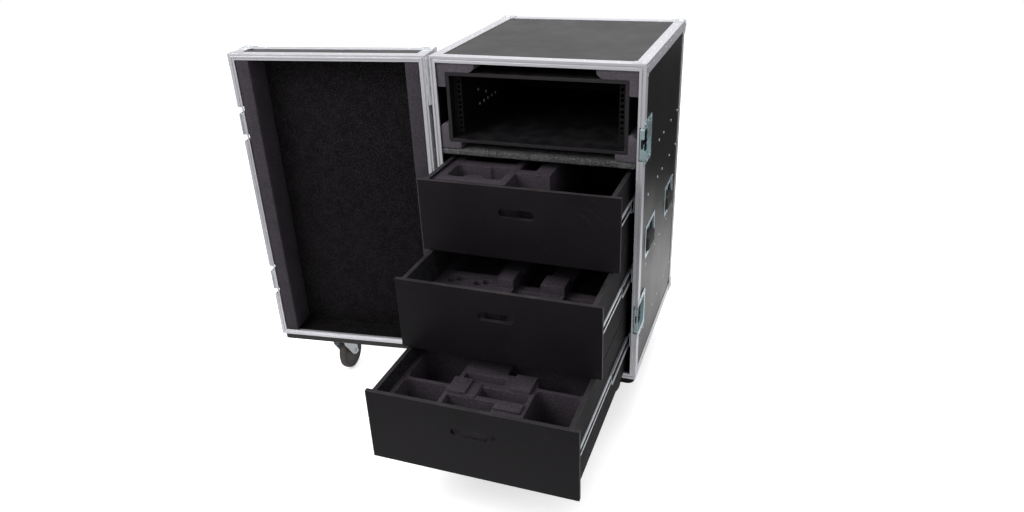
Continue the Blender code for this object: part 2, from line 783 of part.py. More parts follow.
def latch_dish(name, height, zinc, root):
    """Dish of one latch, slotted at the front for the hook."""
    shape = bmesh.new()
    face = HALF + GAP
    flange = ((0.0003, LATCH_FLANGE[0]), LATCH_FLANGE[1])
    pocket = ((0.0008, 0.0008 + LATCH_POCKET[0]), LATCH_POCKET[1])
    pressed_dish(shape, 1, (0.0, height), flange, pocket, face, LATCH_DEEP, 0.007)
    low = (face - LATCH_DEEP + 0.0045, -0.01, height - 0.0145)
    slot = box_of(low, (face + 0.01, 0.0135, height + 0.0145))
    put(name, combined(shape, slot, "DIFFERENCE"), zinc, root)


def caster_plate(x, depth, turn):
    """Top plate, four bolt heads and the kingpin under a board, as lapping shapes."""

    def spot(u, v):
        c, s = math.cos(turn), math.sin(turn)
        return x + c * u - s * v, depth + s * u + c * v

    top, under = -BOARD + LAP, -BOARD - PLATE_THICK
    outline = rounded((-PLATE_WIDE / 2, -PLATE_LONG / 2), (PLATE_WIDE / 2, PLATE_LONG / 2), 0.008)
    plate = bmesh.new()
    add_prism(plate, [spot(u, v) for u, v in outline], "Z", top, under)
    pieces = [plate]
    for u in (-0.5, 0.5):
        for v in (-0.5, 0.5):
            head, centre = bmesh.new(), spot(u * BOLT_PITCH[0], v * BOLT_PITCH[1])
            add_rod(head, centre, "Z", 0.0055, under + LAP, under - 0.0042, 6)
            pieces.append(head)
    kingpin = bmesh.new()
    add_rod(kingpin, (x, depth), "Z", KINGPIN_RADIUS, under + LAP, under - KINGPIN_LONG, 10)
    return [*pieces, kingpin]


def wheel_mesh(rubber):
    """Caster wheel turned about the X axis, bored for its axle."""
    bore, tyre = AXLE_RADIUS + AXLE_PLAY, WHEEL_RADIUS - 0.012
    profile = [(bore, HUB_HALF), (0.0150, HUB_HALF), (0.0170, CORE_HALF), (tyre, CORE_HALF)]
    profile += [(tyre + 0.003, WHEEL_HALF), (WHEEL_RADIUS - 0.0035, WHEEL_HALF)]
    profile.append((WHEEL_RADIUS, WHEEL_HALF - 0.0075))
    profile += [(r, -x) for r, x in reversed(profile)]
    sides = 20
    rings = []
    for i in range(sides):
        angle = 2 * math.pi * i / sides
        rings.append([(x, r * math.sin(angle), -r * math.cos(angle)) for r, x in profile])
    shape = bmesh.new()
    add_loft(shape, rings, closed=True)
    mesh = mesh_from("caster_wheel", shape)
    mesh.materials.append(rubber)
    return mesh


def fork_mesh(zinc):
    """Swivelling fork, drawn from the swivel axis under the board, trailing towards +y."""
    top = -FORK_DOWN
    axle = -(CASTER_TALL - WHEEL_RADIUS)
    outer, inner = FORK_HALF, FORK_HALF - FORK_SHEET
    hub = KINGPIN_RADIUS + KINGPIN_PLAY
    yoke = [(-outer, axle - 0.02), (-outer, top), (outer, top), (outer, axle - 0.02)]
    yoke += [(inner, axle - 0.02), (inner, top - 0.0028), (-inner, top - 0.0028)]
    yoke += [(-inner, axle - 0.02)]
    shape, side = bmesh.new(), bmesh.new()
    add_prism(shape, yoke, "Y", -0.060, 0.080)
    outline = [(-0.030, top + 0.01), (-0.030, top - 0.012), (0.018, axle - 0.004)]
    for i in range(5):
        angle = math.radians(200.0 + 37.0 * i)
        spot = (CASTER_TRAIL + 0.013 * math.cos(angle), axle + 0.013 * math.sin(angle))
        outline.append(spot)
    outline += [(0.046, top - 0.030), (0.034, top - 0.010), (0.034, top + 0.01)]
    add_prism(side, outline, "X", -0.05, 0.05)
    shape = combined(shape, side, "INTERSECT")
    hole = bmesh.new()
    add_rod(hole, (0.0, 0.0), "Z", hub, 0.0, -0.022, 10)
    shape = combined(shape, hole, "DIFFERENCE")
    race = []
    for radius, level in ((hub, top - LAP), (0.0240, top - LAP), (0.0290, top + 0.003)):
        race.append(lift(circle(0.0, 0.0, radius, 14), "Z", level))
    for radius, level in ((0.0290, -0.0045), (0.0250, -0.0038), (hub, -0.0038)):
        race.append(lift(circle(0.0, 0.0, radius, 14), "Z", level))
    bearing, axle_bolt = bmesh.new(), bmesh.new()
    add_loft(bearing, race, closed=True)
    reach = outer + 0.0045
    add_rod(axle_bolt, (CASTER_TRAIL, axle), "X", AXLE_RADIUS, -inner - LAP, inner + LAP, 12)
    pieces = [shape, bearing, axle_bolt]
    for way in (-1, 1):
        head = bmesh.new()
        add_rod(head, (CASTER_TRAIL, axle), "X", 0.0078, way * (outer - LAP), way * reach, 6)
        pieces.append(head)
    shape = united(pieces)
    mesh = mesh_from("caster_fork", shape)
    mesh.materials.append(zinc)
    return mesh


def casters(zinc, rubber, root, lid):
    """Five casters: four under the body and one under the lid."""
    fork, wheel = fork_mesh(zinc), wheel_mesh(rubber)
    spots = [(x, depth) for depth in CASTER_DEPTHS for x in (-CASTER_X, CASTER_X)]
    for number, ((x, depth), turn) in enumerate(zip(spots, CASTER_TURNS), start=1):
        place_at = (x, depth, -BOARD)
        swivel = new_empty(f"caster_{number}_swivel", place_at, root, math.radians(turn))
        place_caster(number, fork, wheel, swivel)
    x, depth = LID_CASTER
    spot = (x + HALF + HINGE_OUT, depth, -BOARD)
    swivel = new_empty("caster_5_swivel", spot, lid, math.radians(LID_OPEN + LID_CASTER_TURN))
    place_caster(5, fork, wheel, swivel)


def place_caster(number, fork, wheel, swivel):
    """Fork and wheel of one caster under its swivel empty."""
    axle = (0.0, CASTER_TRAIL, -(CASTER_TALL - WHEEL_RADIUS))
    place(f"caster_{number}_fork", fork, None, swivel)
    place(f"caster_{number}_wheel", wheel, None, swivel, axle)


def latches(zinc, root):
    """Turning handle and drawn hook of each latch."""
    floor = HALF + GAP - LATCH_DEEP + SHEET
    middle = LATCH_PIVOT
    for number, height in enumerate(LATCH_HEIGHTS, start=1):
        pivot = (floor, middle, height)
        boss = bmesh.new()
        add_rod(boss, (middle, height), "X", 0.0095, floor + 0.0044, floor + 0.0094, 14, 0.001)
        pieces = [boss]
        for way in (-1, 1):
            outline = [(middle - 0.0065, height + way * 0.0060)]
            outline += [(middle + 0.0065, height + way * 0.0060)]
            outline += [(middle + 0.0130, height + way * 0.0205)]
            outline += [(middle + 0.0100, height + way * 0.0290)]
            outline += [(middle - 0.0100, height + way * 0.0290)]
            outline += [(middle - 0.0130, height + way * 0.0205)]
            wing = bmesh.new()
            add_prism(wing, outline, "X", floor + 0.0058, floor + 0.0083)
            pieces.append(wing)
        put(f"latch_{number}_handle", united(pieces), zinc, root, pivot)
        hook = bmesh.new()
        profile = [(floor + 0.0005, 0.070), (floor + 0.0005, 0.0185), (floor + 0.0040, 0.0140)]
        profile += [(floor + 0.0040, 0.0012), (floor + 0.0070, 0.0012)]
        profile += [(floor + 0.0070, 0.0150), (floor + 0.0035, 0.0195), (floor + 0.0035, 0.070)]
        add_prism(hook, profile, "Z", height - 0.0120, height + 0.0120)
        put(f"latch_{number}_hook", hook, zinc, root, (floor, 0.014, height))


def handle_bails(black, root):
    """Spring handles: a bent wire with a grip on it, hinged near the top of each dish."""
    number = 0
    for side in (-1, 1):
        for depth in HANDLE_DEPTHS[side]:
            number += 1
            x = side * (PLY_OUT + GAP + SHEET - 0.0070)
            top = HANDLE_HEIGHT + BAIL_RISE
            low = top - BAIL_DROP
            half = BAIL_SPAN / 2
            turns = [(depth - half - 0.0055, top), (depth - half + 0.004, top)]
            turns += [(depth - half + 0.004, low), (depth + half - 0.004, low)]
            turns += [(depth + half - 0.004, top), (depth + half + 0.0055, top)]
            path = [(x, u, v) for u, v in eased_path(turns, 0.007)]
            wire, grip = bmesh.new(), bmesh.new()
            add_tube(wire, path, BAIL_WIRE)
            thick, tall = GRIP_THICK / 2, GRIP_TALL / 2
            outline = rounded((x - thick, low - tall), (x + thick, low + tall), 0.0055)
            add_prism(grip, outline, "Y", depth - GRIP_LONG / 2, depth + GRIP_LONG / 2)
            shape = united([grip, wire])
            put(f"handle_{number}_bail", shape, black, root, (x, depth, top))


def drawer_front(low):
    """Front board with its round-ended finger slot."""
    front, back = DRAWER_FACE, DRAWER_FACE + FRONT_THICK
    top = low + DRAWER_TALL
    middle = top - SLOT_DOWN
    half, radius = SLOT_LONG / 2, SLOT_TALL / 2
    board = box_of((-DRAWER_HALF, front, low), (DRAWER_HALF, back, top))
    cutter = bmesh.new()
    slot = rounded((-half, middle - radius), (half, middle + radius), radius - 0.0001, 6)
    add_prism(cutter, slot, "Y", front - 0.01, back + 0.01)
    return combined(board, cutter, "DIFFERENCE")


def drawer_box(base, height):
    """Open box of sides, back and floor, with the inner slide members on its sides."""
    front = DRAWER_FACE + FRONT_THICK + GAP
    floor = base + 0.004
    inner = BOX_HALF - BOX_WALL
    hollow = ((-inner, -1.0, floor + BOX_FLOOR), (inner, BOX_BACK - BOX_WALL, 2.0))
    shape = bmesh.new()
    low = (-BOX_HALF, front, floor)
    add_carved(shape, low, (BOX_HALF, BOX_BACK, base + DRAWER_TALL), [hollow])
    pieces = [shape]
    start, stop = front + RUNNER_START, front + RUNNER_LONG
    for side in (-1, 1):
        pieces.append(slide_member(0, side, height, start, stop))
    return united(pieces)


def foam_block(low, high, pockets):
    """Foam slab with rounded pockets cut down into it: outline and floor height of each."""
    shape = bmesh.new()
    add_box(shape, low, high)
    for outline, floor in pockets:
        cutter = bmesh.new()
        add_prism(cutter, outline, "Z", floor, high[2] + 0.05)
        shape = combined(shape, cutter, "DIFFERENCE")
    return shape


def pair_of_rounds(x, y, dx, dy, radius):
    """Outline of two overlapping round holes."""
    apart = math.hypot(dx, dy)
    lean = math.atan2(dy, dx)
    half = math.acos(apart / 2 / radius)
    points = []
    for end, turn in ((0.5, 0.0), (-0.5, math.pi)):
        for i in range(7):
            angle = lean + turn + (-math.pi + half) + (2 * math.pi - 2 * half) * i / 6
            u = x + dx * end + radius * math.cos(angle)
            points.append((u, y + dy * end + radius * math.sin(angle)))
    return points


def top_foam(base):
    """Top drawer: beds for handheld microphones beside an open compartment."""
    floor, top = base + 0.0135, base + DRAWER_TALL - 0.008
    bed = top - 0.055
    left = -BOX_INNER + 0.0132
    lobe, right, far = left + 0.050, left + 0.165, left + 0.115
    corners_of = [(left, 0.072), (lobe, 0.072), (lobe, 0.127), (far, 0.127)]
    corners_of += [(far, 0.072), (right, 0.072), (right, 0.192), (left, 0.192)]
    pockets = [(softened(corners_of, 0.012), bed)]
    pockets.append((rounded((left, 0.240), (right, BED_END), 0.014), bed))
    pockets.append((rounded((-0.030, 0.060), (0.030, BED_END), 0.008), bed - 0.010))
    low = (-BOX_INNER, DRAWER_FACE + FRONT_THICK + FOAM_STANDOFF, floor)
    return foam_block(low, (0.055, BOX_BACK - BOX_WALL - GAP, top), pockets)


def middle_foam(base):
    """Middle drawer: paired round holes in a platform, and beds beside two standing ridges."""
    floor, platform = base + 0.0135, base + DRAWER_TALL - PLATFORM_DOWN
    front, over = DRAWER_FACE + FRONT_THICK + GAP, BOX_INNER + 0.02
    (near, first), (second, far) = RIDGES
    step = platform - STEP_DOWN
    pockets = [
        (rounded((-over, 0.0), (near, BOX_BACK), 0.003), platform),
        (rounded((near - 0.01, 0.0), (over, RIDGE_START), 0.003), platform),
        (rounded((-BOX_INNER + BED_SIDE, PLATFORM_END), (near - 0.010, BED_END), 0.010), platform - BED_DEEP),
    ]
    for x in (-BOX_INNER + 0.0572, -BOX_INNER + 0.1382):
        pockets.append((pair_of_rounds(x, 0.203, 0.021, 0.012, 0.0135), platform - 0.070))
    for start, end in ((first, second), (far, over)):
        pockets.append((rounded((start, 0.0), (end, STEP[0]), 0.004), platform - BED_DEEP))
        pockets.append((rounded((start, STEP[0] - 0.01), (end, STEP[1] + 0.01), 0.004), step))
        pockets.append((rounded((start, STEP[1]), (end, BED_END), 0.004), platform - BED_DEEP))
    high = (BOX_INNER, BOX_BACK - BOX_WALL - GAP, platform + RIDGE_RISE)
    return foam_block((-BOX_INNER, front, floor), high, pockets)


def bottom_foam(base):
    """Bottom drawer: two rows of beds with a pair of longer beds behind them."""
    floor, top = base + 0.0135, base + DRAWER_TALL - 0.045
    bed, side = top - BED_DEEP, BOX_INNER - BED_SIDE
    pockets = []
    rows = ((0.046, 0.144, -0.030, 0.095), (0.164, 0.272, -0.080, 0.020))
    for start, end, left, right in rows:
        pockets.append((rounded((-side, start), (-0.095, end), 0.014), bed))
        pockets.append((rounded((left, start), (right, end), 0.010), bed))
        pockets.append((rounded((0.108, start), (side, end), 0.014), bed))
    for left, right in ((-side, -0.010), (0.010, side)):
        pockets.append((rounded((left, 0.300), (right, BED_END), 0.014), bed))
    low = (-BOX_INNER, DRAWER_FACE + FRONT_THICK + FOAM_STANDOFF, floor)
    return foam_block(low, (BOX_INNER, BOX_BACK - BOX_WALL - GAP, top), pockets)


def drawers(black, carpet, foam, zinc, root):
    """Three drawers pulled out, each with its middle slide members drawn half as far."""
    makers = (bottom_foam, middle_foam, top_foam)
    for index, out in enumerate(DRAWER_OUT):
        number = 3 - index
        base = DRAWER_FIRST + DRAWER_PITCH * index
        height = RUNNER_HEIGHTS[index]
        slide = new_empty(f"drawer_{number}_slide", (0.0, -out, 0.0), root)
        put(f"drawer_{number}_front", drawer_front(base), black, slide)
        put(f"drawer_{number}_box", drawer_box(base, height), carpet, slide)
        put(f"drawer_{number}_foam", makers[index](base), foam, slide)
        carrier = new_empty(f"drawer_{number}_carrier", (0.0, -out / 2, 0.0), root)
        for word, side in (("left", -1), ("right", 1)):
            middle = slide_member(1, side, height, MIDDLE_START, BACK_IN - MIDDLE_STOP)
            put(f"slide_{number}_middle_{word}", middle, zinc, carrier)


def put_on_lid(name, shape, material, lid):
    """Lid piece drawn shut, measured from the hinge pin that carries it."""
    bmesh.ops.translate(shape, verts=shape.verts, vec=(HALF + HINGE_OUT, 0.0, 0.0))
    put(name, shape, material, lid)


def lid_tray(black, lid):
    """Lid panel and walls with the wheel board and its caster plate under them."""
    out = -(LID_DEPTH - SKIN - GAP)
    tray = bmesh.new()
    hollow = (-PLY_IN, out + PLY, INNER_LOW), (PLY_IN, 1.0, INNER_HIGH)
    holes = [hollow]
    for height in LATCH_HEIGHTS:
        low = (HALF - LEG, -LEG, height - LID_NOTCH / 2)
        holes.append((low, (HALF + LEG, 1.0, height + LID_NOTCH / 2)))
    low = (-PLY_OUT, out, SKIN + GAP)
    add_carved(tray, low, (PLY_OUT, -PANEL_FRONT, CASE_HEIGHT - SKIN - GAP), holes)
    board = bmesh.new()
    low = (-HALF + BOARD_INSET, -LID_DEPTH + BOARD_INSET)
    outline = rounded(low, (HALF - BOARD_INSET, -0.001), 0.014)
    add_prism(board, outline, "Z", -BOARD, -GAP)
    reach = HALF - LEG - 0.005
    core = box_of((-reach, -LID_DEPTH + LEG + 0.002, -0.006), (reach, -LEG - 0.002, 0.005))
    pieces = [tray, core, board, *caster_plate(*LID_CASTER, math.pi / 2)]
    put_on_lid("lid_tray", united(pieces), black, lid)


def latch_keeper(height):
    """Grooved bar at the lid's free edge that one hook catches."""
    inner, outer, face = HALF - KEEPER_IN, HALF + 0.0004, HALF - SKIN + 0.0001
    lip, edge = (HALF - groove for groove in KEEPER_GROOVE)
    outline = [(outer, 0.0), (lip, 0.0), (lip, -0.0040), (edge, -0.0040)]
    outline += [(edge, 0.0), (inner, 0.0), (inner, -0.0080), (face, -0.0080)]
    outline += [(face, -LID_DEPTH + LEG - 0.001), (outer, -LID_DEPTH + LEG - 0.001)]
    shape = bmesh.new()
    add_prism(shape, outline, "Z", height - KEEPER_LONG / 2, height + KEEPER_LONG / 2)
    return shape


def lid_extrusions(metal, lid):
    """Tongue frame, outer angles, ball corners, brace and latch keepers of the lid."""
    cage = angle_cage(-LEG + LAP, -LID_DEPTH)
    pieces = [cage, mating_frame(True, LID_NOTCH), *ball_corners(-LID_DEPTH, -1.0)]
    pieces.append(brace(CASE_HEIGHT, -1, -1))
    pieces += [latch_keeper(height) for height in LATCH_HEIGHTS]
    put_on_lid("lid_extrusions", united(pieces), metal, lid)


def lid_foam(foam, lid):
    """Two foam blocks that press on the drawers when the lid is shut."""
    back = -(LID_DEPTH - INNER_LOW) + GAP
    for word, side in (("left", -1), ("right", 1)):
        outer = HALF - FRAME_FACE - GAP
        start, end = sorted((side * (outer - PAD_WIDE), side * outer))
        low = (start, back, FRAME_FACE + GAP)
        shape = box_of(low, (end, -0.0005, CASE_HEIGHT - FRAME_FACE - GAP))
        put_on_lid(f"lid_foam_{word}", shape, foam, lid)


def front_frame(metal, root):
    """Grooved frame on the body's mating edge, with the brace at its top right corner."""
    frame = mating_frame(False, LATCH_POCKET[1] + 2 * GAP)
    put("case_front_frame", united([frame, brace(CASE_HEIGHT, -1, 1)]), metal, root)


def main():
    """Build the whole case."""
    clear_scene()
    black = make_material("laminate", (0.035, 0.032, 0.033), 0.45)
    metal = make_material("extrusion", (0.80, 0.81, 0.82), 0.30, 1.0)
    zinc = make_material("zinc", (0.55, 0.60, 0.60), 0.35, 1.0)
    carpet = make_material("carpet", (0.045, 0.045, 0.050), 0.95)
    foam = make_material("foam", (0.085, 0.080, 0.090), 0.95)
    rubber = make_material("rubber", (0.050, 0.045, 0.045), 0.70)
    root = new_empty("case_frame", (0.0, -CASE_DEPTH / 2, BOARD))
    pin = (-HALF - HINGE_OUT, 0.0, 0.0)
    lid = new_empty("lid_hinge", pin, root, -math.radians(LID_OPEN))
    top_panel(black, root)
    base_board(black, root)
    side_panel("case_left_panel", -1, black, root)
    side_panel("case_right_panel", 1, black, root)
    back_panel(black, root)
    edge_angles(metal, root)
    front_frame(metal, root)
    shelf(carpet, root)
    rack_sleeve(black, root)
    rack_foam(foam, root)
    for word, level in zip(("lower", "upper"), HINGE_HEIGHTS):
        name = f"hinge_{word}_case_leaf"
        hinge_leaf(name, level, 1, zinc, root, True, (0.0, 0.0, 0.0))
        hinge_leaf(f"hinge_{word}_lid_leaf", level, -1, zinc, lid, False, pin)
    number = 0
    for side in (-1, 1):
        for depth in HANDLE_DEPTHS[side]:
            number += 1
            handle_dish(f"handle_{number}_dish", side, depth, zinc, root)
    for number, height in enumerate(LATCH_HEIGHTS, start=1):
        latch_dish(f"latch_{number}_dish", height, zinc, root)
    casters(zinc, rubber, root, lid)
    latches(zinc, root)
    handle_bails(black, root)
    drawers(black, carpet, foam, zinc, root)
    lid_tray(black, lid)
    lid_extrusions(metal, lid)
    lid_foam(foam, lid)


if __name__ == "__main__":
    main()
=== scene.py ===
"""Wireless microphone flight case standing open: finishes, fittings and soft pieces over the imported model.

Metres, +Z up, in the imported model's frame. Each sub-assembly is drawn on a station: the case's own frame
(x to the right, y into the case from its mating edge, z above the body's underside), the lid as if it
were shut, or a drawer as if it were pushed in. The station carries it to where the model stands.
"""

import logging
import math
from collections.abc import Callable
from dataclasses import dataclass
from enum import Enum
from functools import cache

import bmesh
import bpy
from mathutils import Matrix, Vector, noise


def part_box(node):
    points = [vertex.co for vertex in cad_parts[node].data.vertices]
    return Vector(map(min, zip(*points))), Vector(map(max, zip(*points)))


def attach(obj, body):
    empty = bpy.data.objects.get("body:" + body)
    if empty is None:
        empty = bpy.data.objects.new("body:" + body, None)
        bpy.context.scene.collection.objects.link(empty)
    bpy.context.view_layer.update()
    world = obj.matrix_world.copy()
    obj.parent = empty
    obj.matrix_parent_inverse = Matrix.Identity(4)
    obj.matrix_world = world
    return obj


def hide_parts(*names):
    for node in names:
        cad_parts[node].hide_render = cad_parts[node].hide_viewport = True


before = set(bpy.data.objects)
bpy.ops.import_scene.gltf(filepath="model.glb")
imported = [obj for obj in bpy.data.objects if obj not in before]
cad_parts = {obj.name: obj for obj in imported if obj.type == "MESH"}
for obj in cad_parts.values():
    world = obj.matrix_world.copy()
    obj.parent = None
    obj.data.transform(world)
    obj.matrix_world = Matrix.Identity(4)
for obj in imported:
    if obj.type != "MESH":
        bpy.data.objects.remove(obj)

LOG = logging.getLogger("flight_case")

Point = tuple[float, float, float]
Spot = tuple[float, float]
Colour = tuple[float, float, float]
Site = tuple[Point, Point]

# Body and lid
CASE_WIDTH = 0.600
CASE_HEIGHT = 0.950
CASE_DEPTH = 0.614
LID_DEPTH = 0.106
HALF = CASE_WIDTH / 2
BOARD = 0.018
PLY = 0.009
SKIN = 0.0015
GAP = 0.0003
LEG = 0.030
HINGE_OUT = 0.0059
HINGE_HEIGHTS = {"lower": 0.135, "upper": 0.879}
LATCH_HEIGHTS = (0.207, 0.740)
LID_OPEN = 172.7
CASTER_TURNS = (135.0, 98.0, 15.0, 5.0, 5.0)

# Drawer boxes and their slides
BOX_HALF = 0.2655
RUNNER_STEP = 0.0043
RUNNER_THICK = 0.0037

# Sides, and ways that a fastener can face
SIDES = (("left", -1), ("right", 1))
RIGHT: Point = (1.0, 0.0, 0.0)
BACK: Point = (0.0, 1.0, 0.0)
FRONT: Point = (0.0, -1.0, 0.0)
UP: Point = (0.0, 0.0, 1.0)


def from_screen(red: int, green: int, blue: int) -> Colour:
    """Linear colour of a screen colour in 0 to 255."""
    levels = [part / 255 for part in (red, green, blue)]
    return tuple(v / 12.92 if v < 0.04045 else ((v + 0.055) / 1.055) ** 2.4 for v in levels)


@dataclass(frozen=True)
class Station:
    """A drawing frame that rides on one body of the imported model."""

    body: str
    matrix: Matrix


def hinge_turn() -> Matrix:
    """Swing of the open lid about its hinge pin, in the case's frame."""
    pin = Vector((-HALF - HINGE_OUT, 0.0, 0.0))
    swing = Matrix.Rotation(-math.radians(LID_OPEN), 4, "Z")
    return Matrix.Translation(pin) @ swing @ Matrix.Translation(-pin)


CASE_FRAME = Matrix.Translation((0.0, -CASE_DEPTH / 2, BOARD))
CASE = Station("case", CASE_FRAME)
LID = Station("lid", CASE_FRAME @ hinge_turn())


class Axis(Enum):
    """Direction along which a length of material is drawn."""

    X = 0
    Y = 1
    Z = 2

    def stretch(self) -> Point:
        """Noise scale that is long along this axis and fine across it."""
        return tuple(3.0 if i == self.value else 220.0 for i in range(3))

    def lift(self, outline: list[Spot], offset: float) -> list[Point]:
        """Flat outline moved into space, square to this axis."""
        if self is Axis.X:
            return [(offset, u, v) for u, v in outline]
        if self is Axis.Y:
            return [(u, offset, v) for u, v in outline]
        return [(u, v, offset) for u, v in outline]


def softened(corners: list[Spot], radius: float, steps: int = 4) -> list[Spot]:
    """Outline with each of its corners rounded.

    Args:
        corners: the outline's corners in order.
        radius: distance from a corner at which its rounding starts.
        steps: spans in each rounding.

    Returns:
        The points of the rounded outline.
    """
    points: list[Spot] = []
    for i, corner in enumerate(corners):
        here = Vector(corner)
        before = Vector(corners[i - 1]) - here
        after = Vector(corners[(i + 1) % len(corners)]) - here
        reach = min(radius, before.length * 0.49, after.length * 0.49)
        start = here + before.normalized() * reach
        end = here + after.normalized() * reach
        for k in range(steps + 1):
            t = k / steps
            curve = start * (1 - t) ** 2 + here * 2 * t * (1 - t) + end * t**2
            points.append((curve.x, curve.y))
    return points


def rounded(low: Spot, high: Spot, radius: float, steps: int = 5) -> list[Spot]:
    """Rectangle between two corners with round corners."""
    (u0, v0), (u1, v1) = low, high
    centres = [(u1 - radius, v1 - radius), (u0 + radius, v1 - radius)]
    centres += [(u0 + radius, v0 + radius), (u1 - radius, v0 + radius)]
    points: list[Spot] = []
    for quarter, (u, v) in enumerate(centres):
        for i in range(steps + 1):
            angle = math.pi / 2 * (quarter + i / steps)
            points.append((u + radius * math.cos(angle), v + radius * math.sin(angle)))
    return points


def spaced(start: float, stop: float, pitch: float) -> list[float]:
    """Even places from start to stop, no further apart than the pitch."""
    count = max(1, math.ceil((stop - start) / pitch))
    return [start + (stop - start) * i / count for i in range(count + 1)]


def facing(way: Point, spots: list[Point]) -> list[Site]:
    """Sites of fasteners that all point one way."""
    return [(spot, way) for spot in spots]


def towards(side: int) -> Point:
    """Outward direction on the left (-1) or the right (1)."""
    return (float(side), 0.0, 0.0)


def upright_to(way: Point) -> Matrix:
    """Turn that carries straight up into a direction."""
    return Vector(UP).rotation_difference(Vector(way)).to_matrix()


class Shape:
    """A mesh in the making, with the drawing steps that the pieces share."""

    def __init__(self) -> None:
        """Start empty."""
        self.mesh = bmesh.new()

    def loft(self, rings: list[list[Point]], closed: bool = False) -> "Shape":
        """Skin over a row of rings.

        Args:
            rings: outlines with the same number of points.
            closed: joins the last ring to the first in place of capping both.

        Returns:
            This shape.
        """
        loops = [[self.mesh.verts.new(point) for point in ring] for ring in rings]
        count = len(loops[0])
        pairs = list(zip(loops, loops[1:]))
        if closed:
            pairs.append((loops[-1], loops[0]))
        for near, far in pairs:
            for i in range(count):
                j = (i + 1) % count
                self.mesh.faces.new((near[i], near[j], far[j], far[i]))
        if not closed:
            self.mesh.faces.new(reversed(loops[0]))
            self.mesh.faces.new(loops[-1])
        return self

    def prism(self, outline: list[Spot], axis: Axis, low: float, high: float) -> "Shape":
        """Outline drawn out along an axis."""
        return self.loft([axis.lift(outline, low), axis.lift(outline, high)])

    def block(self, low: Point, high: Point) -> "Shape":
        """Closed box between two opposite corners."""
        start, end = Vector(low), Vector(high)
        matrix = Matrix.Translation((start + end) / 2) @ Matrix.Diagonal((*(end - start), 1.0))
        bmesh.ops.create_cube(self.mesh, size=1.0, matrix=matrix)
        return self

    def turned(self, profile: list[Spot], centre: Point, way: Point, sides: int = 16) -> "Shape":
        """Solid of revolution whose profile starts and ends on its axis.

        Args:
            profile: radius and height pairs, the first and last with radius zero.
            centre: where height zero lies on the axis.
            way: direction of growing height.
            sides: spans round the axis.

        Returns:
            This shape.
        """
        turn, base = upright_to(way), Vector(centre)
        foot = self.mesh.verts.new(base + turn @ Vector((0.0, 0.0, profile[0][1])))
        head = self.mesh.verts.new(base + turn @ Vector((0.0, 0.0, profile[-1][1])))
        loops = []
        for radius, height in profile[1:-1]:
            loop = []
            for i in range(sides):
                angle = 2 * math.pi * i / sides
                spot = Vector((radius * math.cos(angle), radius * math.sin(angle), height))
                loop.append(self.mesh.verts.new(base + turn @ spot))
            loops.append(loop)
        for i in range(sides):
            j = (i + 1) % sides
            self.mesh.faces.new((foot, loops[0][j], loops[0][i]))
            for near, far in zip(loops, loops[1:]):
                self.mesh.faces.new((near[i], near[j], far[j], far[i]))
            self.mesh.faces.new((loops[-1][i], loops[-1][j], head))
        return self

    def ring(self, profile: list[Spot], centre: Point, way: Point, sides: int = 48) -> "Shape":
        """Closed section of radius and height pairs turned into a ring."""
        turn, base = upright_to(way), Vector(centre)
        rings = []
        for i in range(sides):
            angle = 2 * math.pi * i / sides
            c, s = math.cos(angle), math.sin(angle)
            rings.append([base + turn @ Vector((r * c, r * s, h)) for r, h in profile])
        return self.loft(rings, closed=True)

    def tube(self, path: list[Point], radius: float, sides: int = 8) -> "Shape":
        """Round wire along a path, its section carried along without twist."""
        points = [Vector(point) for point in path]
        side = (points[1] - points[0]).orthogonal().normalized()
        rings = []
        for i, point in enumerate(points):
            ahead = points[min(i + 1, len(points) - 1)] - points[max(i - 1, 0)]
            ahead.normalize()
            side = (side - ahead * side.dot(ahead)).normalized()
            across = ahead.cross(side)
            ring = []
            for k in range(sides):
                angle = 2 * math.pi * k / sides
                ring.append(point + (side * math.cos(angle) + across * math.sin(angle)) * radius)
            rings.append(ring)
        return self.loft(rings)

    def ball(self, centre: Point, radius: float) -> "Shape":
        """Sphere, as the crown of a pressed corner."""
        spin = Matrix.Translation(centre) @ Matrix.Rotation(math.radians(9.0), 4, "Z")
        bmesh.ops.create_uvsphere(self.mesh, u_segments=28, v_segments=14, radius=radius, matrix=spin)
        return self

    def move(self, matrix: Matrix) -> "Shape":
        """Carry the whole shape by a matrix."""
        bmesh.ops.transform(self.mesh, matrix=matrix, verts=self.mesh.verts)
        return self

    def take(self, other: "Shape") -> "Shape":
        """Add another shape's faces as a separate body."""
        mesh = bpy.data.meshes.new("carry")
        other.mesh.to_mesh(mesh)
        other.mesh.free()
        self.mesh.from_mesh(mesh)
        bpy.data.meshes.remove(mesh)
        return self

    def combine(self, other: "Shape", operation: str) -> "Shape":
        """Join with, or cut by, another shape.

        Args:
            other: the second solid, which is used up.
            operation: UNION, DIFFERENCE or INTERSECT.

        Returns:
            This shape, holding the result.
        """
        holders = []
        for shape in (self, other):
            bmesh.ops.recalc_face_normals(shape.mesh, faces=shape.mesh.faces)
            mesh = bpy.data.meshes.new("working")
            shape.mesh.to_mesh(mesh)
            shape.mesh.free()
            holder = bpy.data.objects.new("working", mesh)
            bpy.context.scene.collection.objects.link(holder)
            holders.append(holder)
        modifier = holders[0].modifiers.new("Combine", "BOOLEAN")
        modifier.operation = operation
        modifier.solver = "EXACT"
        modifier.object = holders[1]
        self.mesh = bmesh.new()
        self.mesh.from_object(holders[0], bpy.context.evaluated_depsgraph_get())
        for holder in holders:
            bpy.data.objects.remove(holder, do_unlink=True)
        return self

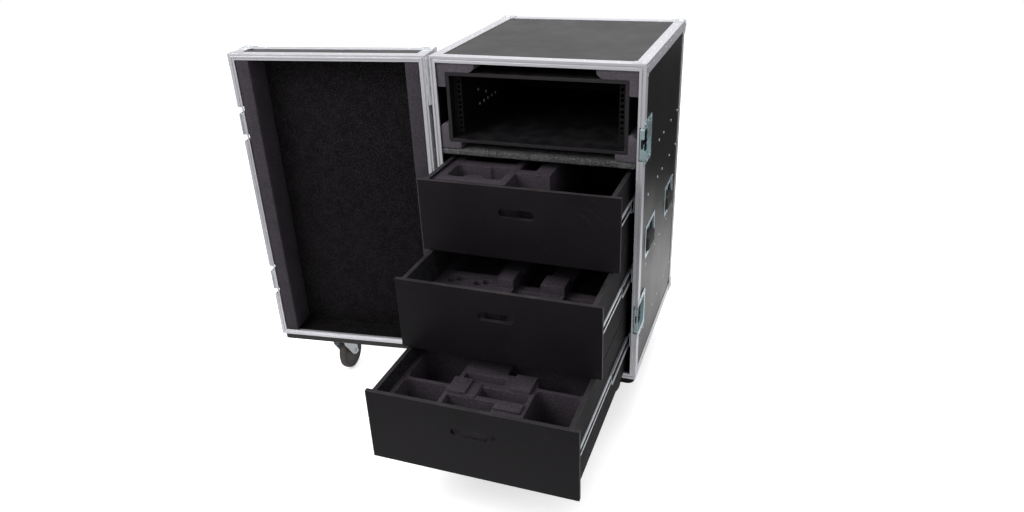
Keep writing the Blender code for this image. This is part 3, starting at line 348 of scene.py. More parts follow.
    def soften(self, width: float, segments: int = 2, angle: float = 40.0) -> "Shape":
        """Round every edge that is sharper than the angle."""
        limit = math.radians(angle)
        bmesh.ops.recalc_face_normals(self.mesh, faces=self.mesh.faces)
        sharp = [e for e in self.mesh.edges if e.is_manifold and e.calc_face_angle(0.0) > limit]
        return self.bevel(sharp, width, segments)

    def bevel(self, edges: list[bmesh.types.BMEdge], width: float, segments: int) -> "Shape":
        """Round the given edges."""
        bmesh.ops.bevel(self.mesh, geom=edges, offset=width, segments=segments, profile=0.5,
                        affect="EDGES", clamp_overlap=True)
        return self

    def soften_rim(self, level: float, width: float) -> "Shape":
        """Round the sharp edges that lie flat at one height."""
        bmesh.ops.recalc_face_normals(self.mesh, faces=self.mesh.faces)
        rim = []
        for edge in self.mesh.edges:
            flat = all(abs(vert.co.z - level) < 1e-5 for vert in edge.verts)
            if flat and edge.is_manifold and edge.calc_face_angle(0.0) > 0.7:
                rim.append(edge)
        return self.bevel(rim, width, 2)

    def divide(self, longest: float) -> "Shape":
        """Cut faces until no edge is longer than the given length."""
        bmesh.ops.triangulate(self.mesh, faces=[f for f in self.mesh.faces if len(f.verts) > 4])
        for _ in range(7):
            long = [edge for edge in self.mesh.edges if edge.calc_length() > longest]
            if not long:
                break
            bmesh.ops.subdivide_edges(self.mesh, edges=long, cuts=1, use_grid_fill=True)
            bmesh.ops.triangulate(self.mesh, faces=[f for f in self.mesh.faces if len(f.verts) > 4])
        return self

    def slump(self, amount: float, size: float) -> "Shape":
        """Push points in and out a little, in swells of the given size, as soft material lies."""
        bmesh.ops.recalc_face_normals(self.mesh, faces=self.mesh.faces)
        self.mesh.normal_update()
        for vert in self.mesh.verts:
            swell = noise.noise(vert.co / size) - 0.5
            vert.co += vert.normal * swell * amount
        return self

    def piece(
        self, name: str, station: Station, finish: "Finish", crease: float = 35.0
    ) -> bpy.types.Object:
        """Finish the mesh as a named piece that rides on its station's body.

        Args:
            name: the piece's name.
            station: the frame it was drawn in.
            finish: what its surface is made of.
            crease: edges sharper than this many degrees stay crisp.

        Returns:
            The new object.
        """
        bmesh.ops.recalc_face_normals(self.mesh, faces=self.mesh.faces)
        mesh = bpy.data.meshes.new(name)
        self.mesh.to_mesh(mesh)
        self.mesh.free()
        mesh.shade_smooth()
        mesh.set_sharp_from_angle(angle=math.radians(crease))
        mesh.materials.append(finish.material())
        made = bpy.data.objects.new(name, mesh)
        made.matrix_world = station.matrix
        bpy.context.scene.collection.objects.link(made)
        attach(made, station.body)
        LOG.info("%s: %d faces, rides on %s", name, len(mesh.polygons), station.body)
        return made


class Graph:
    """Shader nodes laid out in a material or in a shared effect."""

    def __init__(self, tree: bpy.types.NodeTree) -> None:
        """Work in the given node tree."""
        self.tree = tree

    def add(self, kind: str, settings: dict | None = None, **inputs: object) -> bpy.types.Node:
        """New node with its properties set and its inputs fed.

        Args:
            kind: the node's type without its ShaderNode prefix.
            settings: node properties by name.
            inputs: values or sockets by input name, with underscores for spaces.

        Returns:
            The node.
        """
        node = self.tree.nodes.new(kind if kind.startswith("Node") else f"ShaderNode{kind}")
        for name, value in (settings or {}).items():
            setattr(node, name, value)
        for name, value in inputs.items():
            self.feed(node.inputs[name.replace("_", " ")], value)
        return node

    def feed(self, socket: bpy.types.NodeSocket, value: object) -> None:
        """Link a socket into another, or set its plain value."""
        if isinstance(value, bpy.types.NodeSocket):
            self.tree.links.new(value, socket)
        else:
            socket.default_value = value

    def sum(self, operation: str, first: object, second: object) -> bpy.types.NodeSocket:
        """Arithmetic on two values, kept between 0 and 1."""
        node = self.add("Math", {"operation": operation, "use_clamp": True})
        self.feed(node.inputs[0], first)
        self.feed(node.inputs[1], second)
        return node.outputs[0]

    def blend(self, share: object, first: object, second: object) -> bpy.types.NodeSocket:
        """Colour between two colours."""
        node = self.add("Mix", {"data_type": "RGBA"})
        for index, value in ((0, share), (6, first), (7, second)):
            opaque = (*value, 1.0) if isinstance(value, tuple) else value
            self.feed(node.inputs[index], opaque)
        return node.outputs[2]

    def between(self, value: object, low: object, high: object,
                start: float = 0.0, end: float = 1.0) -> bpy.types.NodeSocket:
        """Value carried from one span to another and clamped there."""
        node = self.add("MapRange", Value=value, From_Min=low, From_Max=high,
                        To_Min=start, To_Max=end)
        return node.outputs["Result"]

    def cloud(self, vector: object, scale: object, detail: float = 3.0) -> bpy.types.NodeSocket:
        """Soft noise."""
        return self.add("TexNoise", Vector=vector, Scale=scale, Detail=detail).outputs[0]

    def patches(self, scale: object, low: float, high: float,
                detail: float = 3.0) -> bpy.types.NodeSocket:
        """Cloudy patches over the object, clear below one level of the noise and full above another."""
        return self.between(self.cloud(self.place(), scale, detail), low, high)

    def product(self, first: object, *others: object) -> bpy.types.NodeSocket:
        """Values multiplied together, kept between 0 and 1."""
        for other in others:
            first = self.sum("MULTIPLY", first, other)
        return first

    def place(self) -> bpy.types.NodeSocket:
        """Position on the object."""
        return self.add("TexCoord").outputs["Object"]

    def bump(self, shader: bpy.types.NodeInputs, strength: float, distance: float,
             height: bpy.types.NodeSocket, **base: bpy.types.NodeSocket) -> None:
        """Relief on a surface, over its rounded edges where a base normal is given."""
        relief = self.add("Bump", Strength=strength, Distance=distance, Height=height, **base)
        self.feed(shader["Normal"], relief.outputs[0])

    def gloss(self, shader: bpy.types.NodeInputs, share: bpy.types.NodeSocket,
              low: float, high: float) -> None:
        """Roughness between two values, by a share from 0 to 1."""
        self.feed(shader["Roughness"], self.between(share, 0.0, 1.0, low, high))

    def effect(self, group: bpy.types.NodeTree, **inputs: object) -> bpy.types.NodeOutputs:
        """Place a shared effect and give its outputs."""
        node = self.add("Group", {"node_tree": group})
        for name, value in inputs.items():
            self.feed(node.inputs[name.replace("_", " ")], value)
        return node.outputs


def start_effect(
    name: str, inputs: dict[str, tuple[str, object]], outputs: dict[str, str]
) -> tuple[Graph, bpy.types.NodeOutputs, bpy.types.Node]:
    """Empty effect with its sockets made.

    Args:
        name: the effect's name.
        inputs: socket kind and default value by name.
        outputs: socket kind by name.

    Returns:
        The graph to draw in, the sockets that come in and the node that takes the results.
    """
    tree = bpy.data.node_groups.new(name, "ShaderNodeTree")
    for label, (kind, value) in inputs.items():
        socket = tree.interface.new_socket(
            name=label, in_out="INPUT", socket_type=f"NodeSocket{kind}"
        )
        socket.default_value = value
    for label, kind in outputs.items():
        tree.interface.new_socket(name=label, in_out="OUTPUT", socket_type=f"NodeSocket{kind}")
    graph = Graph(tree)
    return graph, graph.add("NodeGroupInput").outputs, graph.add("NodeGroupOutput")


@cache
def edge_highlight_and_wear() -> bpy.types.NodeTree:
    """Pale edges: a mask along them in patches, partly rubbed wear and partly a painted edge highlight, and
    a normal that rounds them.
    """
    inputs = {"Radius": ("Float", 0.001), "Scale": ("Float", 60.0), "Amount": ("Float", 0.6)}
    graph, given, result = start_effect("Edge highlight and wear", inputs, {"Mask": "Float", "Normal": "Vector"})
    bevel = graph.add("Bevel", {"samples": 4}, Radius=given["Radius"]).outputs[0]
    face = graph.add("NewGeometry").outputs["Normal"]
    dot = graph.add("VectorMath", {"operation": "DOT_PRODUCT"})
    graph.feed(dot.inputs[0], bevel)
    graph.feed(dot.inputs[1], face)
    # Mask of the edges, which get painted paler, as wear and as a painted highlight.
    edge = graph.between(graph.sum("SUBTRACT", 1.0, dot.outputs["Value"]), 0.01, 0.20)
    patches = graph.patches(given["Scale"], 0.30, 0.65)
    graph.feed(result.inputs["Mask"], graph.product(edge, patches, given["Amount"]))
    graph.feed(result.inputs["Normal"], bevel)
    return graph.tree


@cache
def drawn_grain() -> bpy.types.NodeTree:
    """Long fine lines of drawn or brushed metal: a shade and a height."""
    inputs = {"Stretch": ("Vector", (3.0, 220.0, 220.0)), "Turn": ("Vector", (0.0, 0.0, 0.0))}
    graph, given, result = start_effect("Drawn grain", inputs, {"Shade": "Float", "Height": "Float"})
    laid = graph.add("Mapping", Vector=graph.place(), Rotation=given["Turn"], Scale=given["Stretch"])
    broad = graph.cloud(laid.outputs[0], 1.0, 2.0)
    fine = graph.cloud(laid.outputs[0], 4.0, 2.0)
    graph.feed(result.inputs["Shade"], graph.between(broad, 0.25, 0.75))
    graph.feed(result.inputs["Height"], fine)
    return graph.tree


@cache
def scuffs() -> bpy.types.NodeTree:
    """Thin crossing scratches in patches where things have rubbed."""
    inputs = {"Scale": ("Float", 14.0), "Amount": ("Float", 0.5)}
    graph, given, result = start_effect("Scuffs", inputs, {"Mask": "Float"})
    place = graph.place()
    bend = graph.add("TexNoise", Vector=place, Scale=6.0, Detail=1.0).outputs[1]
    shift = graph.add("VectorMath", {"operation": "MULTIPLY_ADD"})
    graph.feed(shift.inputs[0], bend)
    graph.feed(shift.inputs[1], (0.22, 0.22, 0.22))
    graph.feed(shift.inputs[2], place)
    lines = graph.add("TexVoronoi", {"feature": "DISTANCE_TO_EDGE"}, Vector=shift.outputs[0],
                      Scale=given["Scale"]).outputs["Distance"]
    thin = graph.between(lines, 0.0, 0.018, 1.0, 0.0)
    patches = graph.between(graph.cloud(place, 9.0, 2.0), 0.52, 0.68)
    graph.feed(result.inputs["Mask"], graph.product(thin, patches, given["Amount"]))
    return graph.tree


@cache
def flecks() -> bpy.types.NodeTree:
    """Specks of another tone, one to a cell, as in felted carpet and cut foam."""
    inputs = {"Scale": ("Float", 600.0), "Share": ("Float", 0.3)}
    graph, given, result = start_effect("Flecks", inputs, {"Mask": "Float", "Tone": "Float"})
    cells = graph.add("TexVoronoi", Vector=graph.place(), Scale=given["Scale"])
    tone = graph.add("SeparateColor", Color=cells.outputs["Color"]).outputs[0]
    start = graph.sum("SUBTRACT", 1.0, given["Share"])
    picked = graph.between(tone, start, graph.sum("ADD", start, 0.08))
    middle = graph.between(cells.outputs["Distance"], 0.25, 0.75, 1.0, 0.0)
    graph.feed(result.inputs["Mask"], graph.product(picked, middle))
    graph.feed(result.inputs["Tone"], tone)
    return graph.tree


@cache
def nap() -> bpy.types.NodeTree:
    """Height of fibres or open cells, in two sizes."""
    graph, given, result = start_effect("Nap", {"Scale": ("Float", 500.0)}, {"Height": "Float"})
    coarse = graph.cloud(graph.place(), given["Scale"], 4.0)
    cells = graph.add("TexVoronoi", Vector=graph.place(), Scale=given["Scale"]).outputs["Distance"]
    graph.feed(result.inputs["Height"], graph.product(coarse, graph.sum("ADD", cells, 0.5)))
    return graph.tree


@cache
def settled_dust() -> bpy.types.NodeTree:
    """Pale dust on what faces up, thicker in places."""
    inputs = {"Amount": ("Float", 0.2)}
    graph, given, result = start_effect("Settled dust", inputs, {"Mask": "Float"})
    normal = graph.add("SeparateXYZ", Vector=graph.add("NewGeometry").outputs["Normal"])
    upward = graph.between(normal.outputs[2], 0.3, 1.0)
    patches = graph.patches(22.0, 0.40, 0.75, 5.0)
    graph.feed(result.inputs["Mask"], graph.product(upward, patches, given["Amount"]))
    return graph.tree


@dataclass(frozen=True)
class Finish:
    """A surface and the record's slot that it belongs to."""

    name: str
    slot: str
    colour: Colour
    roughness: float
    metallic: float = 0.0
    specular: float = 0.5

    def material(self) -> bpy.types.Material:
        """The finish's material, made on first use."""
        return bpy.data.materials.get(self.name) or self.build()

    def build(self) -> bpy.types.Material:
        """Make the material and paint it."""
        material = bpy.data.materials.new(self.name)
        material.use_nodes = True
        shader = material.node_tree.nodes["Principled BSDF"]
        shader.inputs["Roughness"].default_value = self.roughness
        shader.inputs["Metallic"].default_value = self.metallic
        shader.inputs["Specular IOR Level"].default_value = self.specular
        self.paint(Graph(material.node_tree), shader.inputs)
        return material

    def paint(self, graph: Graph, shader: bpy.types.NodeInputs) -> None:
        """Feed the shader; each kind of finish does this its own way."""
        raise NotImplementedError

    def darker(self, share: float) -> Colour:
        """The finish's colour, dimmed."""
        return tuple(part * share for part in self.colour)


@dataclass(frozen=True)
class BoardFinish(Finish):
    """Black faced plywood: fine pebble, faint streaks, pale edges that are partly rubbed wear and partly a
    painted highlight, and a little dust.
    """

    # Pale colour of the rubbed streaks, and of the edges, where it is also a painted highlight.
    rubbed_and_highlight: Colour = from_screen(112, 106, 106)
    # Amount of the pale edges: rubbed wear with a painted highlight.
    edge: float = 0.7
    edge_radius: float = 0.0012
    streaks: float = 0.05
    pebble: float = 0.05

    def paint(self, graph: Graph, shader: bpy.types.NodeInputs) -> None:
        """Colour, gloss and pebble of the board."""
        edge_highlight_wear = graph.effect(edge_highlight_and_wear(), Radius=self.edge_radius, Scale=40.0, Amount=self.edge)
        lines = graph.effect(scuffs(), Scale=15.0, Amount=self.streaks)
        dust = graph.effect(settled_dust(), Amount=0.05)
        cloud = graph.patches(5.0, 0.3, 0.7, 4.0)
        tone = graph.blend(cloud, self.darker(0.72), self.colour)
        marked = graph.blend(lines["Mask"], tone, self.rubbed_and_highlight)
        # Pale edges: rubbed wear and a painted edge highlight.
        highlit_worn = graph.blend(edge_highlight_wear["Mask"], marked, self.rubbed_and_highlight)
        dusty = graph.blend(dust["Mask"], highlit_worn, from_screen(150, 148, 146))
        graph.feed(shader["Base Color"], dusty)
        graph.gloss(shader, cloud, self.roughness - 0.05, self.roughness + 0.06)
        grit = graph.effect(nap(), Scale=900.0)
        graph.bump(shader, self.pebble, 0.0006, grit["Height"], Normal=edge_highlight_wear["Normal"])


@dataclass(frozen=True)
class MetalFinish(Finish):
    """Drawn or plated metal: grain along its length, hazy patches, and edges brightened in patches, partly
    rubbed wear and partly a painted highlight.
    """

    along: Axis = Axis.Z
    turn: float = 0.0
    dull: Colour = from_screen(150, 152, 156)
    grain: float = 0.25
    haze: float = 0.5
    edge_radius: float = 0.0005

    def paint(self, graph: Graph, shader: bpy.types.NodeInputs) -> None:
        """Colour, grain and haze of the metal."""
        lines = graph.effect(drawn_grain(), Stretch=self.along.stretch(),
                             Turn=(0.0, 0.0, math.radians(self.turn)))
        edge_highlight_wear = graph.effect(edge_highlight_and_wear(), Radius=self.edge_radius, Scale=80.0, Amount=0.5)
        marks = graph.effect(scuffs(), Scale=30.0, Amount=0.1)
        patches = graph.patches(12.0, 0.35, 0.75, 4.0)
        hazy = graph.product(patches, self.haze)
        shade = graph.product(lines["Shade"], self.grain)
        dulled = graph.sum("MAXIMUM", hazy, shade)
        tone = graph.blend(dulled, self.colour, self.dull)
        # Brighter edges: rubbed wear and a painted edge highlight.
        bright = tuple(min(1.0, part * 1.15) for part in self.colour)
        marked = graph.blend(marks["Mask"], tone, self.dull)
        graph.feed(shader["Base Color"], graph.blend(edge_highlight_wear["Mask"], marked, bright))
        graph.gloss(shader, dulled, self.roughness, self.roughness + 0.22)
        graph.bump(shader, 0.08, 0.0002, lines["Height"], Normal=edge_highlight_wear["Normal"])


@dataclass(frozen=True)
class CarpetFinish(Finish):
    """Felted carpet: dark fibres with paler specks and a deep nap."""

    fleck: Colour = from_screen(96, 94, 98)
    share: float = 0.30
    scale: float = 420.0

    def paint(self, graph: Graph, shader: bpy.types.NodeInputs) -> None:
        """Colour and nap of the carpet."""
        specks = graph.effect(flecks(), Scale=self.scale, Share=self.share)
        fibres = graph.effect(nap(), Scale=self.scale * 0.8)
        cloud = graph.patches(30.0, 0.35, 0.70, 5.0)
        tone = graph.blend(cloud, self.darker(0.55), self.colour)
        graph.feed(shader["Base Color"], graph.blend(specks["Mask"], tone, self.fleck))
        graph.gloss(shader, specks["Tone"], 0.86, 0.98)
        graph.bump(shader, 0.55, 0.0014, fibres["Height"])


@dataclass(frozen=True)
class FoamFinish(Finish):
    """Cut closed-cell foam: fine cells, faint saw lines and paler edges, partly bruised and partly a painted
    highlight.
    """

    # Colour of the specks, and of the edges, where it is partly a painted highlight.
    pale: Colour = from_screen(128, 122, 130)
    cell: float = 620.0

    def paint(self, graph: Graph, shader: bpy.types.NodeInputs) -> None:
        """Colour and cells of the foam."""
        specks = graph.effect(flecks(), Scale=self.cell, Share=0.35)
        cells = graph.effect(nap(), Scale=self.cell)
        edge_highlight_wear = graph.effect(edge_highlight_and_wear(), Radius=0.0022, Scale=70.0, Amount=0.55)
        saw = graph.effect(drawn_grain(), Stretch=(4.0, 4.0, 300.0))
        cloud = graph.patches(16.0, 0.3, 0.7, 4.0)
        darker = self.darker(0.74)
        tone = graph.blend(cloud, darker, self.colour)
        lined = graph.blend(graph.product(saw["Shade"], 0.25), tone, darker)
        speckled = graph.blend(graph.product(specks["Mask"], 0.55), lined, self.pale)
        # Paler edges: bruising and a painted edge highlight.
        graph.feed(shader["Base Color"], graph.blend(edge_highlight_wear["Mask"], speckled, self.pale))
        graph.gloss(shader, cloud, 0.88, 0.97)
        graph.bump(shader, 0.5, 0.0009, cells["Height"], Normal=edge_highlight_wear["Normal"])


@dataclass(frozen=True)
class RubberFinish(Finish):
    """Moulded rubber or plastic: fine texture, dust, and paler edges that are partly scuffed and partly a
    painted highlight.
    """

    # Colour of the dust, and of the edges, where it is scuffing with a painted highlight.
    scuffed_dust_and_highlight: Colour = from_screen(120, 114, 110)
    dusting: float = 0.2

    def paint(self, graph: Graph, shader: bpy.types.NodeInputs) -> None:
        """Colour and texture of the moulding."""
        edge_highlight_wear = graph.effect(edge_highlight_and_wear(), Radius=0.0012, Scale=90.0, Amount=0.4)
        dust = graph.effect(settled_dust(), Amount=self.dusting)
        cloud = graph.patches(60.0, 0.3, 0.7, 4.0)
        tone = graph.blend(cloud, self.darker(0.7), self.colour)
        # Paler edges: scuffing and a painted edge highlight.
        highlit_worn = graph.blend(edge_highlight_wear["Mask"], tone, self.scuffed_dust_and_highlight)
        graph.feed(shader["Base Color"], graph.blend(dust["Mask"], highlit_worn, self.scuffed_dust_and_highlight))
        graph.gloss(shader, cloud, self.roughness - 0.06, self.roughness + 0.08)
        grit = graph.effect(nap(), Scale=1100.0)
        graph.bump(shader, 0.15, 0.0004, grit["Height"], Normal=edge_highlight_wear["Normal"])


LAMINATE = BoardFinish("laminate_board", "laminate", from_screen(26, 23, 25), 0.34, specular=0.45)
FRONT_BOARD = BoardFinish("drawer_board", "laminate", from_screen(24, 21, 24), 0.50, specular=0.14,
                          edge=0.45)
BOX_BOARD = BoardFinish("box_board", "laminate", from_screen(28, 25, 28), 0.62, specular=0.07)
INNER_BOARD = BoardFinish("inner_board", "laminate", from_screen(20, 18, 20), 0.60, specular=0.12)
SLEEVE_BOARD = BoardFinish("sleeve_board", "laminate", from_screen(24, 22, 25), 0.62, specular=0.08,
                           edge=0.5)
RIM_BOARD = BoardFinish("rim_board", "laminate", from_screen(40, 37, 40), 0.55, specular=0.2)
EXTRUSION = {
    axis: MetalFinish(f"extrusion_{axis.name}", "extrusion", from_screen(224, 223, 228), 0.36, 0.6,
                      along=axis, haze=0.22)
    for axis in Axis
}
LID_EXTRUSION = MetalFinish("extrusion_lid", "extrusion", from_screen(224, 223, 228), 0.36, 0.6,
                            along=Axis.X, turn=LID_OPEN, haze=0.22)
ZINC = MetalFinish("zinc_plate", "zinc", from_screen(208, 228, 232), 0.22, 0.65, along=Axis.Y,
                   dull=from_screen(128, 150, 156), haze=0.6, edge_radius=0.0008)
BRIGHT = MetalFinish("bright_plate", "zinc", from_screen(226, 229, 232), 0.26, 0.6, along=Axis.Y,
                     dull=from_screen(164, 170, 174), haze=0.4, edge_radius=0.0008)
STEEL = MetalFinish("slide_steel", "zinc", from_screen(214, 218, 222), 0.28, 0.7, along=Axis.Y,
                    dull=from_screen(130, 134, 138), haze=0.5)
RAIL = BoardFinish("rail_steel", "zinc", from_screen(24, 23, 25), 0.6, specular=0.1, edge=0.2)
DARK_STEEL = MetalFinish("dark_steel", "zinc", from_screen(44, 42, 44), 0.42, 1.0, along=Axis.Z,
                         dull=from_screen(40, 38, 40), haze=0.5)
CARPET = CarpetFinish("carpet_lining", "carpet", from_screen(20, 18, 20), 0.95, specular=0.05,
                      fleck=from_screen(56, 54, 56), share=0.26, scale=760.0)
SHELF_CARPET = CarpetFinish("carpet_shelf", "carpet", from_screen(76, 76, 76), 0.95, specular=0.1,
                            fleck=from_screen(118, 118, 118), share=0.3, scale=420.0)
DRAWER_CARPET = CarpetFinish("carpet_drawer", "carpet", from_screen(40, 38, 41), 0.95, specular=0.05,
                             fleck=from_screen(70, 66, 72), share=0.3, scale=560.0)
PALE_FOAM = FoamFinish("foam_pale", "foam", from_screen(78, 73, 79), 0.95, specular=0.05,
                       pale=from_screen(112, 107, 113))
LID_FOAM = FoamFinish("foam_lid", "foam", from_screen(58, 54, 59), 0.95, specular=0.05,
                      pale=from_screen(90, 86, 91))
DARK_FOAM = FoamFinish("foam_drawer", "foam", from_screen(60, 55, 61), 0.95, specular=0.05,
                       pale=from_screen(96, 90, 97))
TREAD = RubberFinish("wheel_tread", "tread", from_screen(64, 58, 56), 0.62)
# Same rubber as the tread, lighter in colour: a painted sheen on the wheel's side face.
CORE_PAINTED_SHEEN = RubberFinish("wheel_core_painted_sheen", "tread", from_screen(84, 78, 74), 0.55)
CAGE = RubberFinish("slide_cage", "grip", from_screen(26, 26, 28), 0.75, specular=0.08, dusting=0.0,
                    scuffed_dust_and_highlight=from_screen(60, 60, 62))
GRIP = RubberFinish("grip_rubber", "grip", from_screen(30, 27, 28), 0.60, dusting=0.1)


def at_end(centre: Vector) -> bool:
    """Whether a face lies on a top or bottom length of an extrusion."""
    return centre.z < LEG or centre.z > CASE_HEIGHT - LEG


def dress(node: str, station: Station, finishes: list[Finish],
          pick: Callable[[Vector, Vector], int] = lambda centre, normal: 0) -> None:
    """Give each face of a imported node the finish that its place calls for.

    Args:
        node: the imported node's name.
        station: the frame in which pick sees each face.
        finishes: what the node is made of.
        pick: from a face's centre and normal, the place of its finish in that list.
    """
    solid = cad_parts[node]
    back = station.matrix.inverted()
    turn = back.to_3x3()
    solid.data.materials.clear()
    for finish in finishes:
        solid.data.materials.append(finish.material())
    for face in solid.data.polygons:
        face.material_index = pick(back @ face.center, turn @ face.normal)
    LOG.info("%s: packed node in %s", node, ", ".join(finish.name for finish in finishes))


def rivets(name: str, station: Station, sites: list[Site], radius: float = 0.0034,
           tall: float = 0.0014, finish: Finish = ZINC) -> bpy.types.Object:
    """Domed rivet heads, one piece for each row.

    Args:
        name: the row's name.
        station: the frame it is drawn in.
        sites: foot and direction of each head.
        radius: of a head.
        tall: height of a head.
        finish: what the heads are made of.

    Returns:
        The piece.
    """
    profile = [(0.0, -GAP), (radius, -GAP), (radius, tall * 0.25), (radius * 0.84, tall * 0.68)]
    profile += [(radius * 0.5, tall * 0.94), (0.0, tall)]
    shape = Shape()
    for foot, way in sites:
        shape.turned(profile, foot, way, 12)
    return shape.piece(name, station, finish, 50.0)


def screws(name: str, station: Station, sites: list[Site], radius: float = 0.0038,
           finish: Finish = STEEL) -> bpy.types.Object:
    """Pan-head screws with a cross recess.

    Args:
        name: the row's name.
        station: the frame it is drawn in.
        sites: foot and direction of each head.
        radius: of a head.
        finish: what the heads are made of.

    Returns:
        The piece.
    """
    tall = radius * 0.62
    profile = [(0.0, -GAP), (radius, -GAP), (radius, tall * 0.5), (radius * 0.86, tall * 0.86)]
    profile += [(radius * 0.6, tall), (0.0, tall)]
    whole = Shape()
    for foot, way in sites:
        head = Shape().turned(profile, (0.0, 0.0, 0.0), UP, 14)
        arm, thin = radius * 0.52, radius * 0.13
        for long, wide in ((arm, thin), (thin, arm)):
            slot = Shape().block((-long, -wide, tall * 0.45), (long, wide, tall * 1.5))
            head.combine(slot, "DIFFERENCE")
        whole.take(head.move(Matrix.Translation(foot) @ upright_to(way).to_4x4()))
    return whole.piece(name, station, finish, 40.0)


@dataclass
class CornerCaps:
    """Pressed ball corners and folded braces with their rivets."""

    flap: float = 0.0384
    crown: float = 0.0156
    sink: float = 0.0100
    sheet: float = 0.0006

    def cap(self, bottom: bool) -> Shape:
        """One cap for a corner at the origin, with the case at negative x, y and z."""
        low, face = -self.flap, SKIN
        proud = face + self.sheet
        shape = Shape().ball((-self.sink, -self.sink, -self.sink), self.crown)
        for axis in (Axis.X, Axis.Y, Axis.Z):
            if bottom and axis is Axis.Z:
                continue
            top = -0.0012 if bottom else proud
            outline = softened([(low, low), (proud, low), (proud, top), (low, top)], 0.006, 3)
            plate = Shape().prism(outline, axis, face - 0.0004, proud)
            shape.combine(plate, "UNION")
        return shape

    def rivet_sites(self, bottom: bool) -> list[Site]:
        """Feet of the rivets on one cap."""
        face = SKIN + self.sheet
        near, far = -0.0315, -0.016
        sites = []
        for u, v in ((near, near), (near, far), (far, near)):
            sites += [((face, u, v), RIGHT), ((u, face, v), BACK)]
            if not bottom:
                sites.append(((u, v, face), UP))
        return sites

    def build(self, station: Station, depth: float, way: float, word: str) -> None:
        """Four caps at one depth of a station.

        Args:
            station: case or lid.
            depth: of the corners.
            way: 1 where the corner points to growing y, and -1 where not.
            word: what the pieces' names start with.
        """
        number = 0
        for bottom in (False, True):
            for side in (-1, 1):
                number += 1
                level = 0.0 if bottom else CASE_HEIGHT
                spread = Matrix.Diagonal((side, way, -1.0 if bottom else 1.0, 1.0))
                matrix = Matrix.Translation((side * HALF, depth, level)) @ spread
                self.cap(bottom).move(matrix).piece(
                    f"{word}_ball_corner_{number}", station, BRIGHT, 40.0)
                turn = spread.to_3x3()
                sites = [(matrix @ Vector(foot), turn @ Vector(aim))
                         for foot, aim in self.rivet_sites(bottom)]
                rivets(f"{word}_ball_corner_rivets_{number}", station, sites, 0.0026, 0.0012, BRIGHT)


